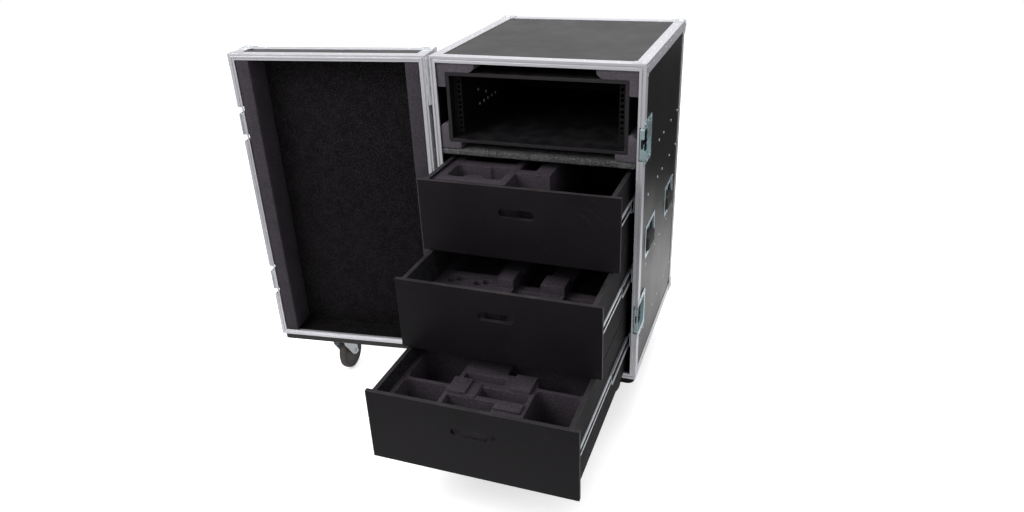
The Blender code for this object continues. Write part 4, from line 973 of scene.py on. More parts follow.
@dataclass
class CaseShell:
    """Panels, edge angles and front frame of the body, with their fasteners."""

    rivet_pitch: float = 0.105
    runner_rows: tuple[float, ...] = (0.126, 0.342, 0.563)
    shelf_row: float = 0.677
    runner_depths: tuple[float, ...] = (0.102, 0.245, 0.319, 0.444, 0.559)

    def build(self) -> None:
        """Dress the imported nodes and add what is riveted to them."""
        self.panels()
        self.metal()
        self.angle_rivets()
        self.side_rivets()
        CornerCaps().build(CASE, CASE_DEPTH, 1.0, "case")

    def panels(self) -> None:
        """Boards, with the slide members inside as steel."""
        slide_out = BOX_HALF + GAP + 3 * RUNNER_STEP - 0.0006
        slide_low, slide_high = 0.09, 0.60

        def part(centre: Vector, normal: Vector) -> int:
            """Outer face, inner face or slide member."""
            if abs(centre.x) < slide_out and slide_low < centre.z < slide_high:
                return 2
            return int(abs(centre.x) < HALF - SKIN - PLY + 0.001)

        dress("case_top_panel", CASE, [LAMINATE, INNER_BOARD], lambda c, n: int(n.z < -0.5))
        dress("case_back_panel", CASE, [LAMINATE, INNER_BOARD], lambda c, n: int(n.y < -0.5))
        for word, _ in SIDES:
            dress(f"case_{word}_panel", CASE, [LAMINATE, INNER_BOARD, STEEL], part)
        dress("case_base", CASE, [INNER_BOARD, BRIGHT], lambda c, n: int(c.z < -BOARD - 0.0002))

    def metal(self) -> None:
        """Angles and frame, with the grain along each length."""
        lengths = [EXTRUSION[axis] for axis in Axis]

        def angle_part(centre: Vector, normal: Vector) -> int:
            """Which way the angle under this face runs."""
            at_side = abs(centre.x) > HALF - LEG - 0.001
            if at_side and not at_end(centre):
                return 2
            return int(at_side and centre.y <= CASE_DEPTH - LEG - 0.001)

        def frame_part(centre: Vector, normal: Vector) -> int:
            """Level length, standing length or the brace over the corner."""
            if centre.z > CASE_HEIGHT + GAP or centre.x > HALF + GAP:
                return 3
            return 0 if at_end(centre) else 2

        dress("case_edge_angles", CASE, lengths, angle_part)
        dress("case_front_frame", CASE, [*lengths, BRIGHT], frame_part)
        face, top = HALF + SKIN, CASE_HEIGHT + SKIN
        near, middle, far, end = 0.008, 0.015, 0.022, 0.029
        sites = facing(UP, [(HALF - x, y, top) for x, y in ((near, near), (near, far), (end, middle))])
        sites += facing(RIGHT, [(face, y, CASE_HEIGHT - z)
                                for y, z in ((near, near), (far, near), (middle, end))])
        rivets("case_brace_rivets", CASE, sites, 0.0026, 0.0012, BRIGHT)

    def angle_rivets(self) -> None:
        """Rows of rivets along every leg of the angles and the frame."""
        leg = LEG / 2
        rows: dict[str, list[Site]] = {}
        depths = spaced(0.105, CASE_DEPTH - 0.075, self.rivet_pitch)
        heights = spaced(0.075, CASE_HEIGHT - 0.075, self.rivet_pitch)
        widths = spaced(-HALF + 0.075, HALF - 0.075, self.rivet_pitch)
        for word, side in SIDES:
            out, x = towards(side), side * HALF
            rows[f"top_{word}"] = facing(out, [(x, y, CASE_HEIGHT - leg) for y in depths])
            rows[f"top_{word}"] += facing(UP, [(x - side * leg, y, CASE_HEIGHT) for y in depths])
            rows[f"bottom_{word}"] = facing(out, [(x, y, leg) for y in depths])
            rows[f"back_{word}"] = facing(out, [(x, CASE_DEPTH - leg, z) for z in heights])
            rows[f"back_{word}"] += facing(BACK, [(x - side * leg, CASE_DEPTH, z) for z in heights])
        for level, word in ((CASE_HEIGHT - leg, "top"), (leg, "bottom")):
            rows[f"back_{word}"] = facing(BACK, [(x, CASE_DEPTH, level) for x in widths])
        rows["back_top"] += facing(UP, [(x, CASE_DEPTH - leg, CASE_HEIGHT) for x in widths])
        rows["frame_top"] = facing(UP, [(x, 0.020, CASE_HEIGHT) for x in widths])
        for word, sites in rows.items():
            rivets(f"case_rivets_{word}", CASE, sites, finish=EXTRUSION[Axis.Z])

    def side_rivets(self) -> None:
        """Rivets that hold the drawer slides and the shelf, through each side."""
        face = HALF - SKIN - GAP
        for word, side in SIDES:
            spots = [(side * face, y, level) for level in self.runner_rows for y in self.runner_depths]
            spots += [(side * face, y, self.shelf_row) for y in self.runner_depths[1:]]
            sites = facing(towards(side), spots)
            rivets(f"slide_rivets_{word}", CASE, sites, 0.0038, 0.0016, BRIGHT)


@dataclass
class RackBay:
    """Floating rack sleeve on its foam blocks, over the carpeted shelf."""

    shelf_low: float = 0.668
    shelf_high: float = 0.687
    half: float = 0.2565
    low: float = 0.7075
    high: float = 0.9055
    wall: float = 0.009
    front: float = 0.0056
    rail_back: float = 0.08
    rail_inner: float = 0.2245
    foam_out: float = 0.2868
    foam_top: float = 0.9366
    foam_back: float = 0.590
    screw_depths: tuple[float, ...] = (0.216, 0.250, 0.284, 0.315, 0.347)
    screw_level: float = 0.762

    def build(self) -> None:
        """Sleeve, shelf, foam and screws."""
        self.sleeve()
        self.shelf()
        self.foam()
        self.wall_screws()

    def sleeve(self) -> None:
        """Board sleeve, its front edge a little paler, and its dark rails."""
        inner = self.half - self.wall

        def part(centre: Vector, normal: Vector) -> int:
            """Board, front edge or rail."""
            inside = abs(centre.x) < inner - 0.0001 and self.low + 0.010 < centre.z < self.high - 0.010
            if inside and centre.y < self.rail_back and abs(centre.x) > self.rail_inner:
                return 2
            return int(normal.y < -0.9 and centre.y < 0.01)

        dress("rack_sleeve", CASE, [SLEEVE_BOARD, RIM_BOARD, RAIL], part)

    def shelf(self) -> None:
        """Board wrapped in carpet, its front edge round and fuzzy."""
        width = self.foam_out
        outline = softened([(self.front, self.shelf_low), (0.592, self.shelf_low),
                            (0.592, self.shelf_high), (self.front, self.shelf_high)], 0.006, 4)
        shape = Shape().prism(outline, Axis.X, -width, width)
        shape.divide(0.030).slump(0.0008, 0.02)
        made = shape.piece("carpeted_shelf", CASE, SHELF_CARPET, 60.0)
        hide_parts("rack_shelf")

    def block_outline(self, upper: bool) -> list[Spot]:
        """Section of one foam length on the right: two arms that hold a corner of the sleeve."""
        side_in = self.half + GAP
        out, top = self.foam_out, self.foam_top
        if upper:
            corners = [(0.170, top), (0.170, 0.918), (0.184, self.high + GAP)]
            corners += [(side_in, self.high + GAP), (side_in, 0.864), (out, 0.864), (out, top)]
        else:
            base = self.shelf_high + GAP
            corners = [(0.222, base), (out, base), (out, 0.748), (side_in + 0.014, 0.762)]
            corners += [(side_in, 0.762), (side_in, self.low - GAP), (0.222, self.low - GAP)]
        return softened(corners, 0.0045, 4)

    def foam(self) -> None:
        """Four full-depth lengths of foam, one at each corner of the sleeve."""
        for level in ("upper", "lower"):
            outline = self.block_outline(level == "upper")
            for word, side in SIDES:
                section = [(side * u, v) for u, v in outline]
                shape = Shape().prism(section, Axis.Y, self.front, self.foam_back)
                shape.soften(0.002, 2, 50.0).slump(0.0004, 0.01)
                made = shape.piece(f"rack_block_{level}_{word}", CASE, PALE_FOAM, 50.0)
                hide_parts(f"rack_foam_{level}_{word}")

    def wall_screws(self) -> None:
        """Bright screws along the inner sleeve walls."""
        wall = self.half - self.wall
        spots = [(y, self.screw_level) for y in self.screw_depths] + [(0.211, 0.807), (0.271, 0.786)]
        for word, side in SIDES:
            sites = facing(towards(-side), [(side * wall, y, z) for y, z in spots])
            screws(f"sleeve_screws_{word}", CASE, sites, 0.0046)


@dataclass
class Lid:
    """Open lid: lining, foam pads, extrusions and keepers."""

    pad_inner: float = 0.2390
    pad_outer: float = 0.2820
    pad_low: float = 0.0180
    pad_high: float = 0.9320
    keeper_in: float = 0.283
    keeper_half: float = 0.0335
    keeper_deep: float = 0.077
    rivet_pitch: float = 0.105

    def build(self) -> None:
        """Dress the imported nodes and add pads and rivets."""
        self.tray()
        self.metal()
        self.pads()
        self.rivet_rows()
        CornerCaps().build(LID, -LID_DEPTH, -1.0, "lid")

    def tray(self) -> None:
        """Board outside, carpet inside, plate under the caster."""
        inner = HALF - SKIN - GAP - PLY + 0.0002
        back = -(LID_DEPTH - SKIN - GAP - PLY) - 0.0002
        low = SKIN + GAP + PLY - 0.0002

        def part(centre: Vector, normal: Vector) -> int:
            """Board, lining or steel."""
            if centre.z < -BOARD - 0.0002:
                return 2
            inside = abs(centre.x) < inner and centre.y > back and low < centre.z < CASE_HEIGHT - low
            return int(inside)

        dress("lid_tray", LID, [LAMINATE, CARPET, BRIGHT], part)

    def metal(self) -> None:
        """Extrusions with their grain, and the keepers as plated bars."""

        def part(centre: Vector, normal: Vector) -> int:
            """Level length, standing length or keeper."""
            level = any(abs(centre.z - height) < self.keeper_half for height in LATCH_HEIGHTS)
            if level and centre.x > self.keeper_in and centre.y > -self.keeper_deep:
                return 2
            if centre.z > CASE_HEIGHT + GAP or abs(centre.x) > HALF + GAP:
                return 2
            return 0 if at_end(centre) else 1

        dress("lid_extrusions", LID, [LID_EXTRUSION, EXTRUSION[Axis.Z], BRIGHT], part)

    def pads(self) -> None:
        """Foam pads down both sides of the lid."""
        back = -(LID_DEPTH - SKIN - GAP - PLY) + 2 * GAP
        for word, side in SIDES:
            start, end = sorted((side * self.pad_inner, side * self.pad_outer))
            shape = Shape().block((start, back, self.pad_low), (end, -0.001, self.pad_high))
            shape.soften(0.004, 3, 50.0).divide(0.035).slump(0.0010, 0.05)
            made = shape.piece(f"lid_pad_{word}", LID, LID_FOAM, 60.0)
            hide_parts(f"lid_foam_{word}")

    def rivet_rows(self) -> None:
        """Rivets along the lid's angles and frame."""
        leg, front = LEG / 2, -LID_DEPTH
        heights = spaced(0.075, CASE_HEIGHT - 0.075, self.rivet_pitch)
        widths = spaced(-HALF + 0.075, HALF - 0.075, self.rivet_pitch)
        fittings = (tuple(HINGE_HEIGHTS.values()), LATCH_HEIGHTS)
        for (word, side), taken in zip(SIDES, fittings):
            out = towards(side)
            sites = facing(out, [(side * HALF, front + leg, z) for z in heights])
            sites += facing(FRONT, [(side * (HALF - leg), front, z) for z in heights])
            clear = [z for z in heights if all(abs(z - h) > 0.075 for h in taken)]
            sites += facing(out, [(side * HALF, -0.020, z) for z in clear])
            rivets(f"lid_rivets_{word}", LID, sites, finish=EXTRUSION[Axis.Z])
        top = facing(FRONT, [(x, front, CASE_HEIGHT - leg) for x in widths])
        top += facing(UP, [(x, y, CASE_HEIGHT) for y in (front + leg, -0.020) for x in widths])
        rivets("lid_rivets_top", LID, top, finish=EXTRUSION[Axis.Z])
        bottom = facing(FRONT, [(x, front, leg) for x in widths])
        rivets("lid_rivets_bottom", LID, bottom, finish=EXTRUSION[Axis.Z])


@dataclass(frozen=True)
class Pocket:
    """Hollow cut down into a foam insert: outline and depth under the foam's top."""

    outline: list[Spot]
    deep: float


@dataclass(frozen=True)
class Block:
    """Length of foam glued into an insert: two corners, its foot and its top, and its corner radius."""

    start: Spot
    end: Spot
    bottom: float
    level: float
    radius: float = 0.003


@dataclass(frozen=True)
class Insert:
    """Foam insert of a drawer: body between two corners, hollows, added lengths and other levels."""

    top: float
    low: Spot
    high: Spot
    pockets: list[Pocket]
    blocks: list[Block]
    levels: tuple[float, ...] = ()


@dataclass
class Drawer:
    """One pulled drawer: front, box, slide members and foam insert."""

    number: int
    base: float
    out: float
    runner: float
    tall: float = 0.2095
    wall: float = 0.012
    back: float = 0.582
    face: float = 0.004
    thick: float = 0.0115
    web: float = 0.0011

    @property
    def station(self) -> Station:
        """Where the drawer is drawn, pushed in."""
        shift = Matrix.Translation((0.0, -self.out, 0.0))
        return Station(f"drawer_{self.number}", CASE_FRAME @ shift)

    @property
    def carrier(self) -> Station:
        """Where the middle slide members are drawn, pushed in."""
        shift = Matrix.Translation((0.0, -self.out / 2, 0.0))
        return Station(f"slide_{self.number}", CASE_FRAME @ shift)

    def build(self) -> None:
        """Dress the drawer and add its insert and slides."""
        self.boards()
        self.slides()
        self.insert()

    def boards(self) -> None:
        """Front and box, with the slide member on each side as steel."""
        rim = self.base + self.tall - 0.0002
        inner = BOX_HALF - self.wall + 0.0002

        def part(centre: Vector, normal: Vector) -> int:
            """Outer board, rim, lining or slide member."""
            if abs(centre.x) > BOX_HALF + 0.0002:
                return 3
            if centre.z > rim:
                return 1
            inside = abs(centre.x) < inner and centre.y < self.back - self.wall + 0.0002
            return 2 if inside and centre.z > self.base + 0.012 else 0

        dress(f"drawer_{self.number}_front", self.station, [FRONT_BOARD, RIM_BOARD],
              lambda c, n: int(c.z > rim))
        dress(f"drawer_{self.number}_box", self.station,
              [BOX_BOARD, RIM_BOARD, DRAWER_CARPET, STEEL], part)

    def channel(self, side: int) -> list[Spot]:
        """Section of a rolled middle slide member: a web with a lip along each edge."""
        near = BOX_HALF + GAP + RUNNER_STEP
        far, half_tall = near + RUNNER_THICK, 0.019
        web, lip = self.web, 0.0026
        corners = [(far, -half_tall), (near, -half_tall), (near, half_tall), (far, half_tall)]
        corners += [(far, half_tall - lip), (near + web, half_tall - lip)]
        corners += [(near + web, -half_tall + lip), (far, -half_tall + lip)]
        return [(side * u, self.runner + v) for u, v in softened(corners, 0.0005, 2)]

    def slides(self) -> None:
        """Middle members as rolled channels, and the cage and stop that show on the inner members."""
        for word, side in SIDES:
            section = self.channel(side)
            shape = Shape().prism(section, Axis.Y, 0.092, 0.580)
            made = shape.piece(f"slide_{self.number}_channel_{word}", self.carrier, STEEL, 40.0)
            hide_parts(f"slide_{self.number}_middle_{word}")
            self.cage(word, side)

    def cage(self, word: str, side: int) -> None:
        """Dark ball cages that lie in the inner and middle members, and a black stop in front."""
        inner = BOX_HALF + RUNNER_THICK
        middle = BOX_HALF + GAP + RUNNER_STEP + self.web
        for name, station, near, deep, half, start, end in (
            ("inner_cage", self.station, inner, 0.0003, 0.0060, 0.030, 0.570),
            ("middle_cage", self.carrier, middle, 0.0003, 0.0125, 0.094, 0.578),
            ("stop", self.station, inner, 0.0005, 0.0130, 0.0190, 0.0300),
        ):
            strip = self.strip(side, (near, near + deep), half, start, end)
            strip.piece(f"slide_{self.number}_{name}_{word}", station, CAGE, 40.0)

    def strip(self, side: int, reach: Spot, half: float, start: float, end: float) -> Shape:
        """Flat strip along a slide member."""
        near, far = sorted((side * reach[0], side * reach[1]))
        return Shape().block((near, start, self.runner - half), (far, end, self.runner + half))

    def insert(self) -> None:
        """Foam insert with its pockets, beds and raised blocks."""
        plan = self.plan()
        shape = Shape().block((*plan.low, self.floor), (*plan.high, plan.top))
        for pocket in plan.pockets:
            cutter = Shape().prism(pocket.outline, Axis.Z, plan.top - pocket.deep, plan.top + 0.05)
            shape.combine(cutter, "DIFFERENCE")
        for block in plan.blocks:
            outline = rounded(block.start, block.end, block.radius, 3)
            shape.combine(Shape().prism(outline, Axis.Z, block.bottom, block.level), "UNION")
        for level in {plan.top, *plan.levels, *(block.level for block in plan.blocks)}:
            shape.soften_rim(level, 0.0016)
        made = shape.piece(f"drawer_{self.number}_insert", self.station, DARK_FOAM, 40.0)
        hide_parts(f"drawer_{self.number}_foam")

    def plan(self) -> Insert:
        """Body, hollows and added lengths of the insert."""
        raise NotImplementedError

    @property
    def floor(self) -> float:
        """Underside of the insert."""
        return self.base + 0.0137

    @property
    def clear_half(self) -> float:
        """Half the width between the box walls."""
        return BOX_HALF - self.wall - 2 * GAP

    @property
    def clear_back(self) -> float:
        """Depth at which the box's back wall starts."""
        return self.back - self.wall - 2 * GAP


@dataclass
class TopDrawer(Drawer):
    """Beds for handheld microphones beside an open compartment."""

    def plan(self) -> Insert:
        """Body, hollows and added lengths of the insert."""
        top = self.base + self.tall - 0.008
        front = self.face + self.thick + 0.0257
        edge = 0.0548
        waist = [(-0.228, 0.074), (-0.178, 0.074), (-0.172, 0.092), (-0.122, 0.092), (-0.116, 0.074)]
        waist += [(-0.066, 0.074), (-0.066, 0.166), (-0.122, 0.166), (-0.128, 0.158), (-0.166, 0.158)]
        waist += [(-0.172, 0.166), (-0.228, 0.166)]
        pockets = [
            Pocket(softened(waist, 0.016, 5), 0.052),
            Pocket(rounded((-0.228, 0.202), (-0.066, 0.545), 0.014), 0.060),
            Pocket(rounded((-0.043, front - 0.010), (edge + 0.020, 0.132), 0.002),
                   top - self.floor - 0.012),
            Pocket(rounded((-0.043, 0.164), (0.006, 0.545), 0.005), 0.080),
        ]
        blocks = [
            Block((-0.168, 0.070), (-0.126, 0.100), top - 0.060, top - 0.004, 0.004),
            Block((-0.224, 0.198), (-0.150, 0.250), top - 0.064, top - 0.022, 0.006),
        ]
        return Insert(top, (-self.clear_half, front), (edge, self.clear_back), pockets, blocks)


@dataclass
class MiddleDrawer(Drawer):
    """Paired round holes in a low platform, and long beds beside two standing ridges."""

    platform_down: float = 0.091
    ridge_rise: float = 0.027
    ridge_start: float = 0.188
    ridge_end: float = 0.248
    bed_deep: float = 0.060
    step_down: float = 0.012

    def plan(self) -> Insert:
        """Body, hollows and added lengths of the insert."""
        platform = self.base + self.tall - self.platform_down
        top, front = platform + self.ridge_rise, self.face + self.thick + 2 * GAP
        wide, back = self.clear_half, self.clear_back
        over, bed, end = wide + 0.02, self.ridge_rise + self.bed_deep, 0.545
        step = self.ridge_rise + self.step_down
        pockets = [
            Pocket(rounded((-over, 0.0), (-0.064, back + 0.02), 0.003), self.ridge_rise),
            Pocket(rounded((-0.090, 0.0), (over, self.ridge_start), 0.003), self.ridge_rise),
            Pocket(rounded((-over, self.ridge_end), (over, back + 0.02), 0.003), self.ridge_rise),
            Pocket(rounded((-0.062, 0.0), (0.062, 0.080), 0.004), bed),
            Pocket(rounded((-0.235, 0.252), (-0.090, end), 0.012), bed),
        ]
        for x in (-0.196, -0.115):
            pockets.append(Pocket(self.pair_of_rounds(x, 0.203), self.ridge_rise + 0.070))
        for left, right in ((-0.018, 0.062), (0.130, over)):
            pockets.append(Pocket(rounded((left, 0.0), (right, 0.200), 0.004), bed))
            pockets.append(Pocket(rounded((left, 0.190), (right, 0.246), 0.004), step))
            pockets.append(Pocket(rounded((left, 0.236), (right, end), 0.004), bed))
        levels = (platform, platform - self.step_down)
        return Insert(top, (-wide, front), (wide, back), pockets, [], levels)

    @staticmethod
    def pair_of_rounds(x: float, y: float) -> list[Spot]:
        """Outline of two overlapping round holes that lean across the drawer."""
        dx, dy, radius = 0.021, 0.012, 0.0135
        lean = math.atan2(dy, dx)
        half = math.acos(math.hypot(dx, dy) / 2 / radius)
        points: list[Spot] = []
        for end, turn in ((0.5, 0.0), (-0.5, math.pi)):
            for i in range(15):
                angle = lean + turn - math.pi + half + (2 * math.pi - 2 * half) * i / 14
                points.append((x + dx * end + radius * math.cos(angle),
                               y + dy * end + radius * math.sin(angle)))
        return points


@dataclass
class BottomDrawer(Drawer):
    """Two rows of beds with a pair of longer beds behind them, and a lock in the front."""

    lock_x: float = 0.0632
    lock_z: float = 0.157

    def build(self) -> None:
        """The drawer and its lock."""
        super().build()
        profile = [(0.0, -GAP), (0.0062, -GAP), (0.0062, 0.0012), (0.0052, 0.0018)]
        profile += [(0.0040, 0.0018), (0.0036, 0.0008), (0.0, 0.0008)]
        lock = Shape().turned(profile, (self.lock_x, self.face, self.lock_z), FRONT, 24)
        keyway = Shape().block((self.lock_x - 0.0005, self.face - 0.004, self.lock_z - 0.0024),
                               (self.lock_x + 0.0005, self.face - 0.0003, self.lock_z + 0.0024))
        lock.combine(keyway, "DIFFERENCE").piece("bottom_drawer_lock", self.station, DARK_STEEL)

    def plan(self) -> Insert:
        """Body, hollows and added lengths of the insert."""
        top = self.base + self.tall - 0.045
        front = self.face + self.thick + 0.0257
        bed, slot = 0.105, 0.085
        pockets = [
            Pocket(rounded((-0.238, front - 0.030), (-0.114, 0.138), 0.012), bed),
            Pocket(rounded((-0.238, 0.150), (-0.102, 0.290), 0.016), bed),
            Pocket(rounded((0.118, front - 0.030), (0.240, 0.188), 0.016), bed),
            Pocket(rounded((0.112, 0.198), (0.240, 0.290), 0.012), bed),
            Pocket(rounded((0.020, 0.232), (0.125, 0.290), 0.006), bed),
            Pocket(rounded((-0.102, front - 0.030), (0.032, 0.107), 0.003), slot),
            Pocket(rounded((-0.024, 0.123), (0.106, 0.160), 0.003), slot),
            Pocket(rounded((-0.090, 0.184), (0.028, 0.211), 0.003), slot),
            Pocket(rounded((-0.238, 0.310), (-0.012, 0.545), 0.014), bed),
            Pocket(rounded((0.012, 0.310), (0.238, 0.545), 0.014), bed),
        ]
        blocks = [
            Block((-0.106, 0.112), (-0.054, 0.174), top - slot, top + 0.012),
            Block((-0.0545, 0.109), (-0.027, 0.170), top - slot, top + 0.004),
            Block((0.036, 0.078), (0.108, 0.114), top - slot, top + 0.008),
            Block((0.049, 0.162), (0.107, 0.228), top - slot, top + 0.012),
            Block((0.0285, 0.178), (0.0495, 0.228), top - slot, top - 0.006),
        ]
        return Insert(top, (-self.clear_half, front), (self.clear_half, self.clear_back), pockets, blocks)


@dataclass
class Caster:
    """Swivel caster: fork dressed, and a turned wheel in place of the plain one."""

    number: int
    axle: Vector
    across: Vector
    radius: float = 0.0625
    half: float = 0.0145

    def build(self) -> None:
        """Wheel, core and fork."""
        fork = Station(f"caster_{self.number}", Matrix.Identity(4))
        wheel = Station(f"roller_{self.number}", Matrix.Identity(4))
        dress(f"caster_{self.number}_fork", fork, [BRIGHT])
        rim, side = self.radius, self.half
        tread = [(rim - 0.0116, 0.0124), (rim - 0.0096, side - 0.0006), (rim - 0.0064, side)]
        tread += [(rim - 0.0024, side - 0.0026), (rim - 0.0007, side * 0.5)]
        tread = [(r, -h) for r, h in tread] + [(rim, 0.0)] + tread[::-1]
        made = Shape().ring(tread, self.axle, self.across).piece(
            f"caster_{self.number}_tyre", wheel, TREAD, 50.0)
        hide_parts(f"caster_{self.number}_wheel")
        core = [(0.0064, 0.0162), (0.0140, 0.0162), (0.0160, 0.0120), (0.0190, 0.0086)]
        core += [(rim - 0.0230, 0.0074), (rim - 0.0170, 0.0086), (rim - 0.0134, 0.0116)]
        core.append((rim - 0.0114, 0.0128))
        core += [(r, -h) for r, h in reversed(core)]
        # The core carries the wheel's side face, painted lighter as a sheen.
        Shape().ring(core, self.axle, self.across).piece(
            f"caster_{self.number}_core", wheel, CORE_PAINTED_SHEEN, 45.0)


@dataclass
class Latch:
    """Recessed butterfly latch: dish, hook, butterfly handle and rivets."""

    number: int
    height: float
    middle: float = 0.046
    floor: float = HALF + GAP - 0.0124 + 0.0012
    face: float = HALF + GAP + 0.0012

    def build(self) -> None:
        """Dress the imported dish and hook, and make the handle."""
        dress(f"latch_{self.number}_dish", CASE, [ZINC])
        dress(f"latch_{self.number}_hook", CASE, [DARK_STEEL])
        self.butterfly()
        spots = [(self.face, y, self.height + rise)
                 for y in (0.014, 0.046, 0.086) for rise in (-0.0540, 0.0540)]
        rivets(f"latch_{self.number}_rivets", CASE, facing(RIGHT, spots), 0.0030, 0.0014)

    def wing(self, way: float) -> Shape:
        """One leaf of the butterfly, folded up along its outer edge."""
        y, z = self.middle, self.height
        corners = [(y - 0.0065, z + way * 0.0040), (y + 0.0065, z + way * 0.0040)]
        corners += [(y + 0.0130, z + way * 0.0200), (y + 0.0105, z + way * 0.0290)]
        corners += [(y - 0.0105, z + way * 0.0290), (y - 0.0130, z + way * 0.0200)]
        outline = softened(corners, 0.0055, 4)
        leaf = Shape().prism(outline, Axis.X, self.floor + 0.0058, self.floor + 0.0083)
        inner = [(y + (u - y) * 0.62, z + way * 0.0165 + (v - z - way * 0.0165) * 0.58)
                 for u, v in outline]
        dimple = Shape().prism(inner, Axis.X, self.floor + 0.0070, self.floor + 0.0100)
        return leaf.combine(dimple, "DIFFERENCE")

    def butterfly(self) -> None:
        """Both leaves on their boss."""
        station = Station(f"latch_{self.number}", CASE_FRAME)
        profile = [(0.0, 0.0046), (0.0092, 0.0046), (0.0092, 0.0084), (0.0082, 0.0094)]
        profile += [(0.0050, 0.0094), (0.0044, 0.0084), (0.0, 0.0084)]
        shape = Shape().turned(profile, (self.floor, self.middle, self.height), RIGHT, 28)
        for way in (-1.0, 1.0):
            shape.combine(self.wing(way), "UNION")
        made = shape.piece(f"latch_{self.number}_butterfly", station, DARK_STEEL, 40.0)
        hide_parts(f"latch_{self.number}_handle")


@dataclass
class SpringHandle:
    """Recessed handle: dish, sprung bail with a ribbed grip, and rivets."""

    number: int
    side: int
    depth: float
    level: float = 0.4175
    rise: float = 0.033
    drop: float = 0.048
    span: float = 0.104
    wire: float = 0.0028
    grip_long: float = 0.088
    grip_tall: float = 0.042
    grip_thick: float = 0.0200
    grip_out: float = 0.0040

    @property
    def face(self) -> float:
        """Outer face of the dish's flange."""
        return HALF - SKIN + 0.0012

    def build(self) -> None:
        """Dress the dish and make the bail."""
        dress(f"handle_{self.number}_dish", CASE, [ZINC])
        self.bail()
        spots = [(self.side * self.face, self.depth + dy, self.level + dz)
                 for dy in (-0.065, 0.0, 0.065) for dz in (-0.0470, 0.0470)]
        sites = facing(towards(self.side), spots)
        rivets(f"handle_{self.number}_rivets", CASE, sites, 0.0028, 0.0013)

    def bail(self) -> None:
        """Bent wire with its grip."""
        station = Station(f"bail_{self.number}", CASE_FRAME)
        x = self.side * (self.face - 0.0070)
        top = self.level + self.rise
        low = top - self.drop
        pivot, leg = self.span / 2 + 0.0055, self.span / 2 - 0.004
        corners = [(-pivot, top), (-leg, top), (-leg, low), (leg, low), (leg, top), (pivot, top)]
        corners = [(self.depth + along, level) for along, level in corners]
        path = [corners[0]]
        for before, here, after in zip(corners, corners[1:], corners[2:]):
            bend = softened([before, here, after], 0.007, 6)
            path += bend[7:14]
        path.append(corners[-1])
        wire = Shape().tube([(x, u, v) for u, v in path], self.wire, 12)
        wire.piece(f"handle_{self.number}_wire", station, DARK_STEEL, 50.0)
        grip = self.grip(x + self.side * self.grip_out, low)
        made = grip.piece(f"handle_{self.number}_grip", station, GRIP, 50.0)
        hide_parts(f"handle_{self.number}_bail")

    def grip(self, x: float, low: float) -> Shape:
        """Moulded sleeve on the wire, swelling between five finger grooves."""
        rings = []
        count = 40
        for i in range(count + 1):
            along = i / count
            y = self.depth + (along - 0.5) * self.grip_long
            end = min(1.0, math.sin(math.pi * min(along, 1 - along, 0.08) / 0.16) * 0.25 + 0.75)
            swell = end * (1.0 - 0.035 * (1 + math.cos(2 * math.pi * along * 10)) / 2)
            thick = self.grip_thick / 2 * swell
            tall = self.grip_tall / 2 * swell
            outline = rounded((x - thick, low - tall), (x + thick, low + tall), 0.0050 * swell, 5)
            rings.append(Axis.Y.lift(outline, y))
        return Shape().loft(rings)


@dataclass
class Hinge:
    """Two leaves and a pin on the left side, with their rivets."""

    word: str
    level: float

    def build(self) -> None:
        """Dress both leaves and rivet them down."""
        dress(f"hinge_{self.word}_case_leaf", CASE, [BRIGHT])
        dress(f"hinge_{self.word}_lid_leaf", LID, [BRIGHT])
        for station, way, name in ((CASE, 1.0, "case"), (LID, -1.0, "lid")):
            spots = [(-HALF - GAP - SKIN, way * y, self.level + dz)
                     for dz in (-0.054, -0.018, 0.018, 0.054) for y in (0.0135, 0.0265)]
            sites = facing(towards(-1), spots)
            rivets(f"hinge_{self.word}_{name}_rivets", station, sites, 0.0028, 0.0012, BRIGHT)


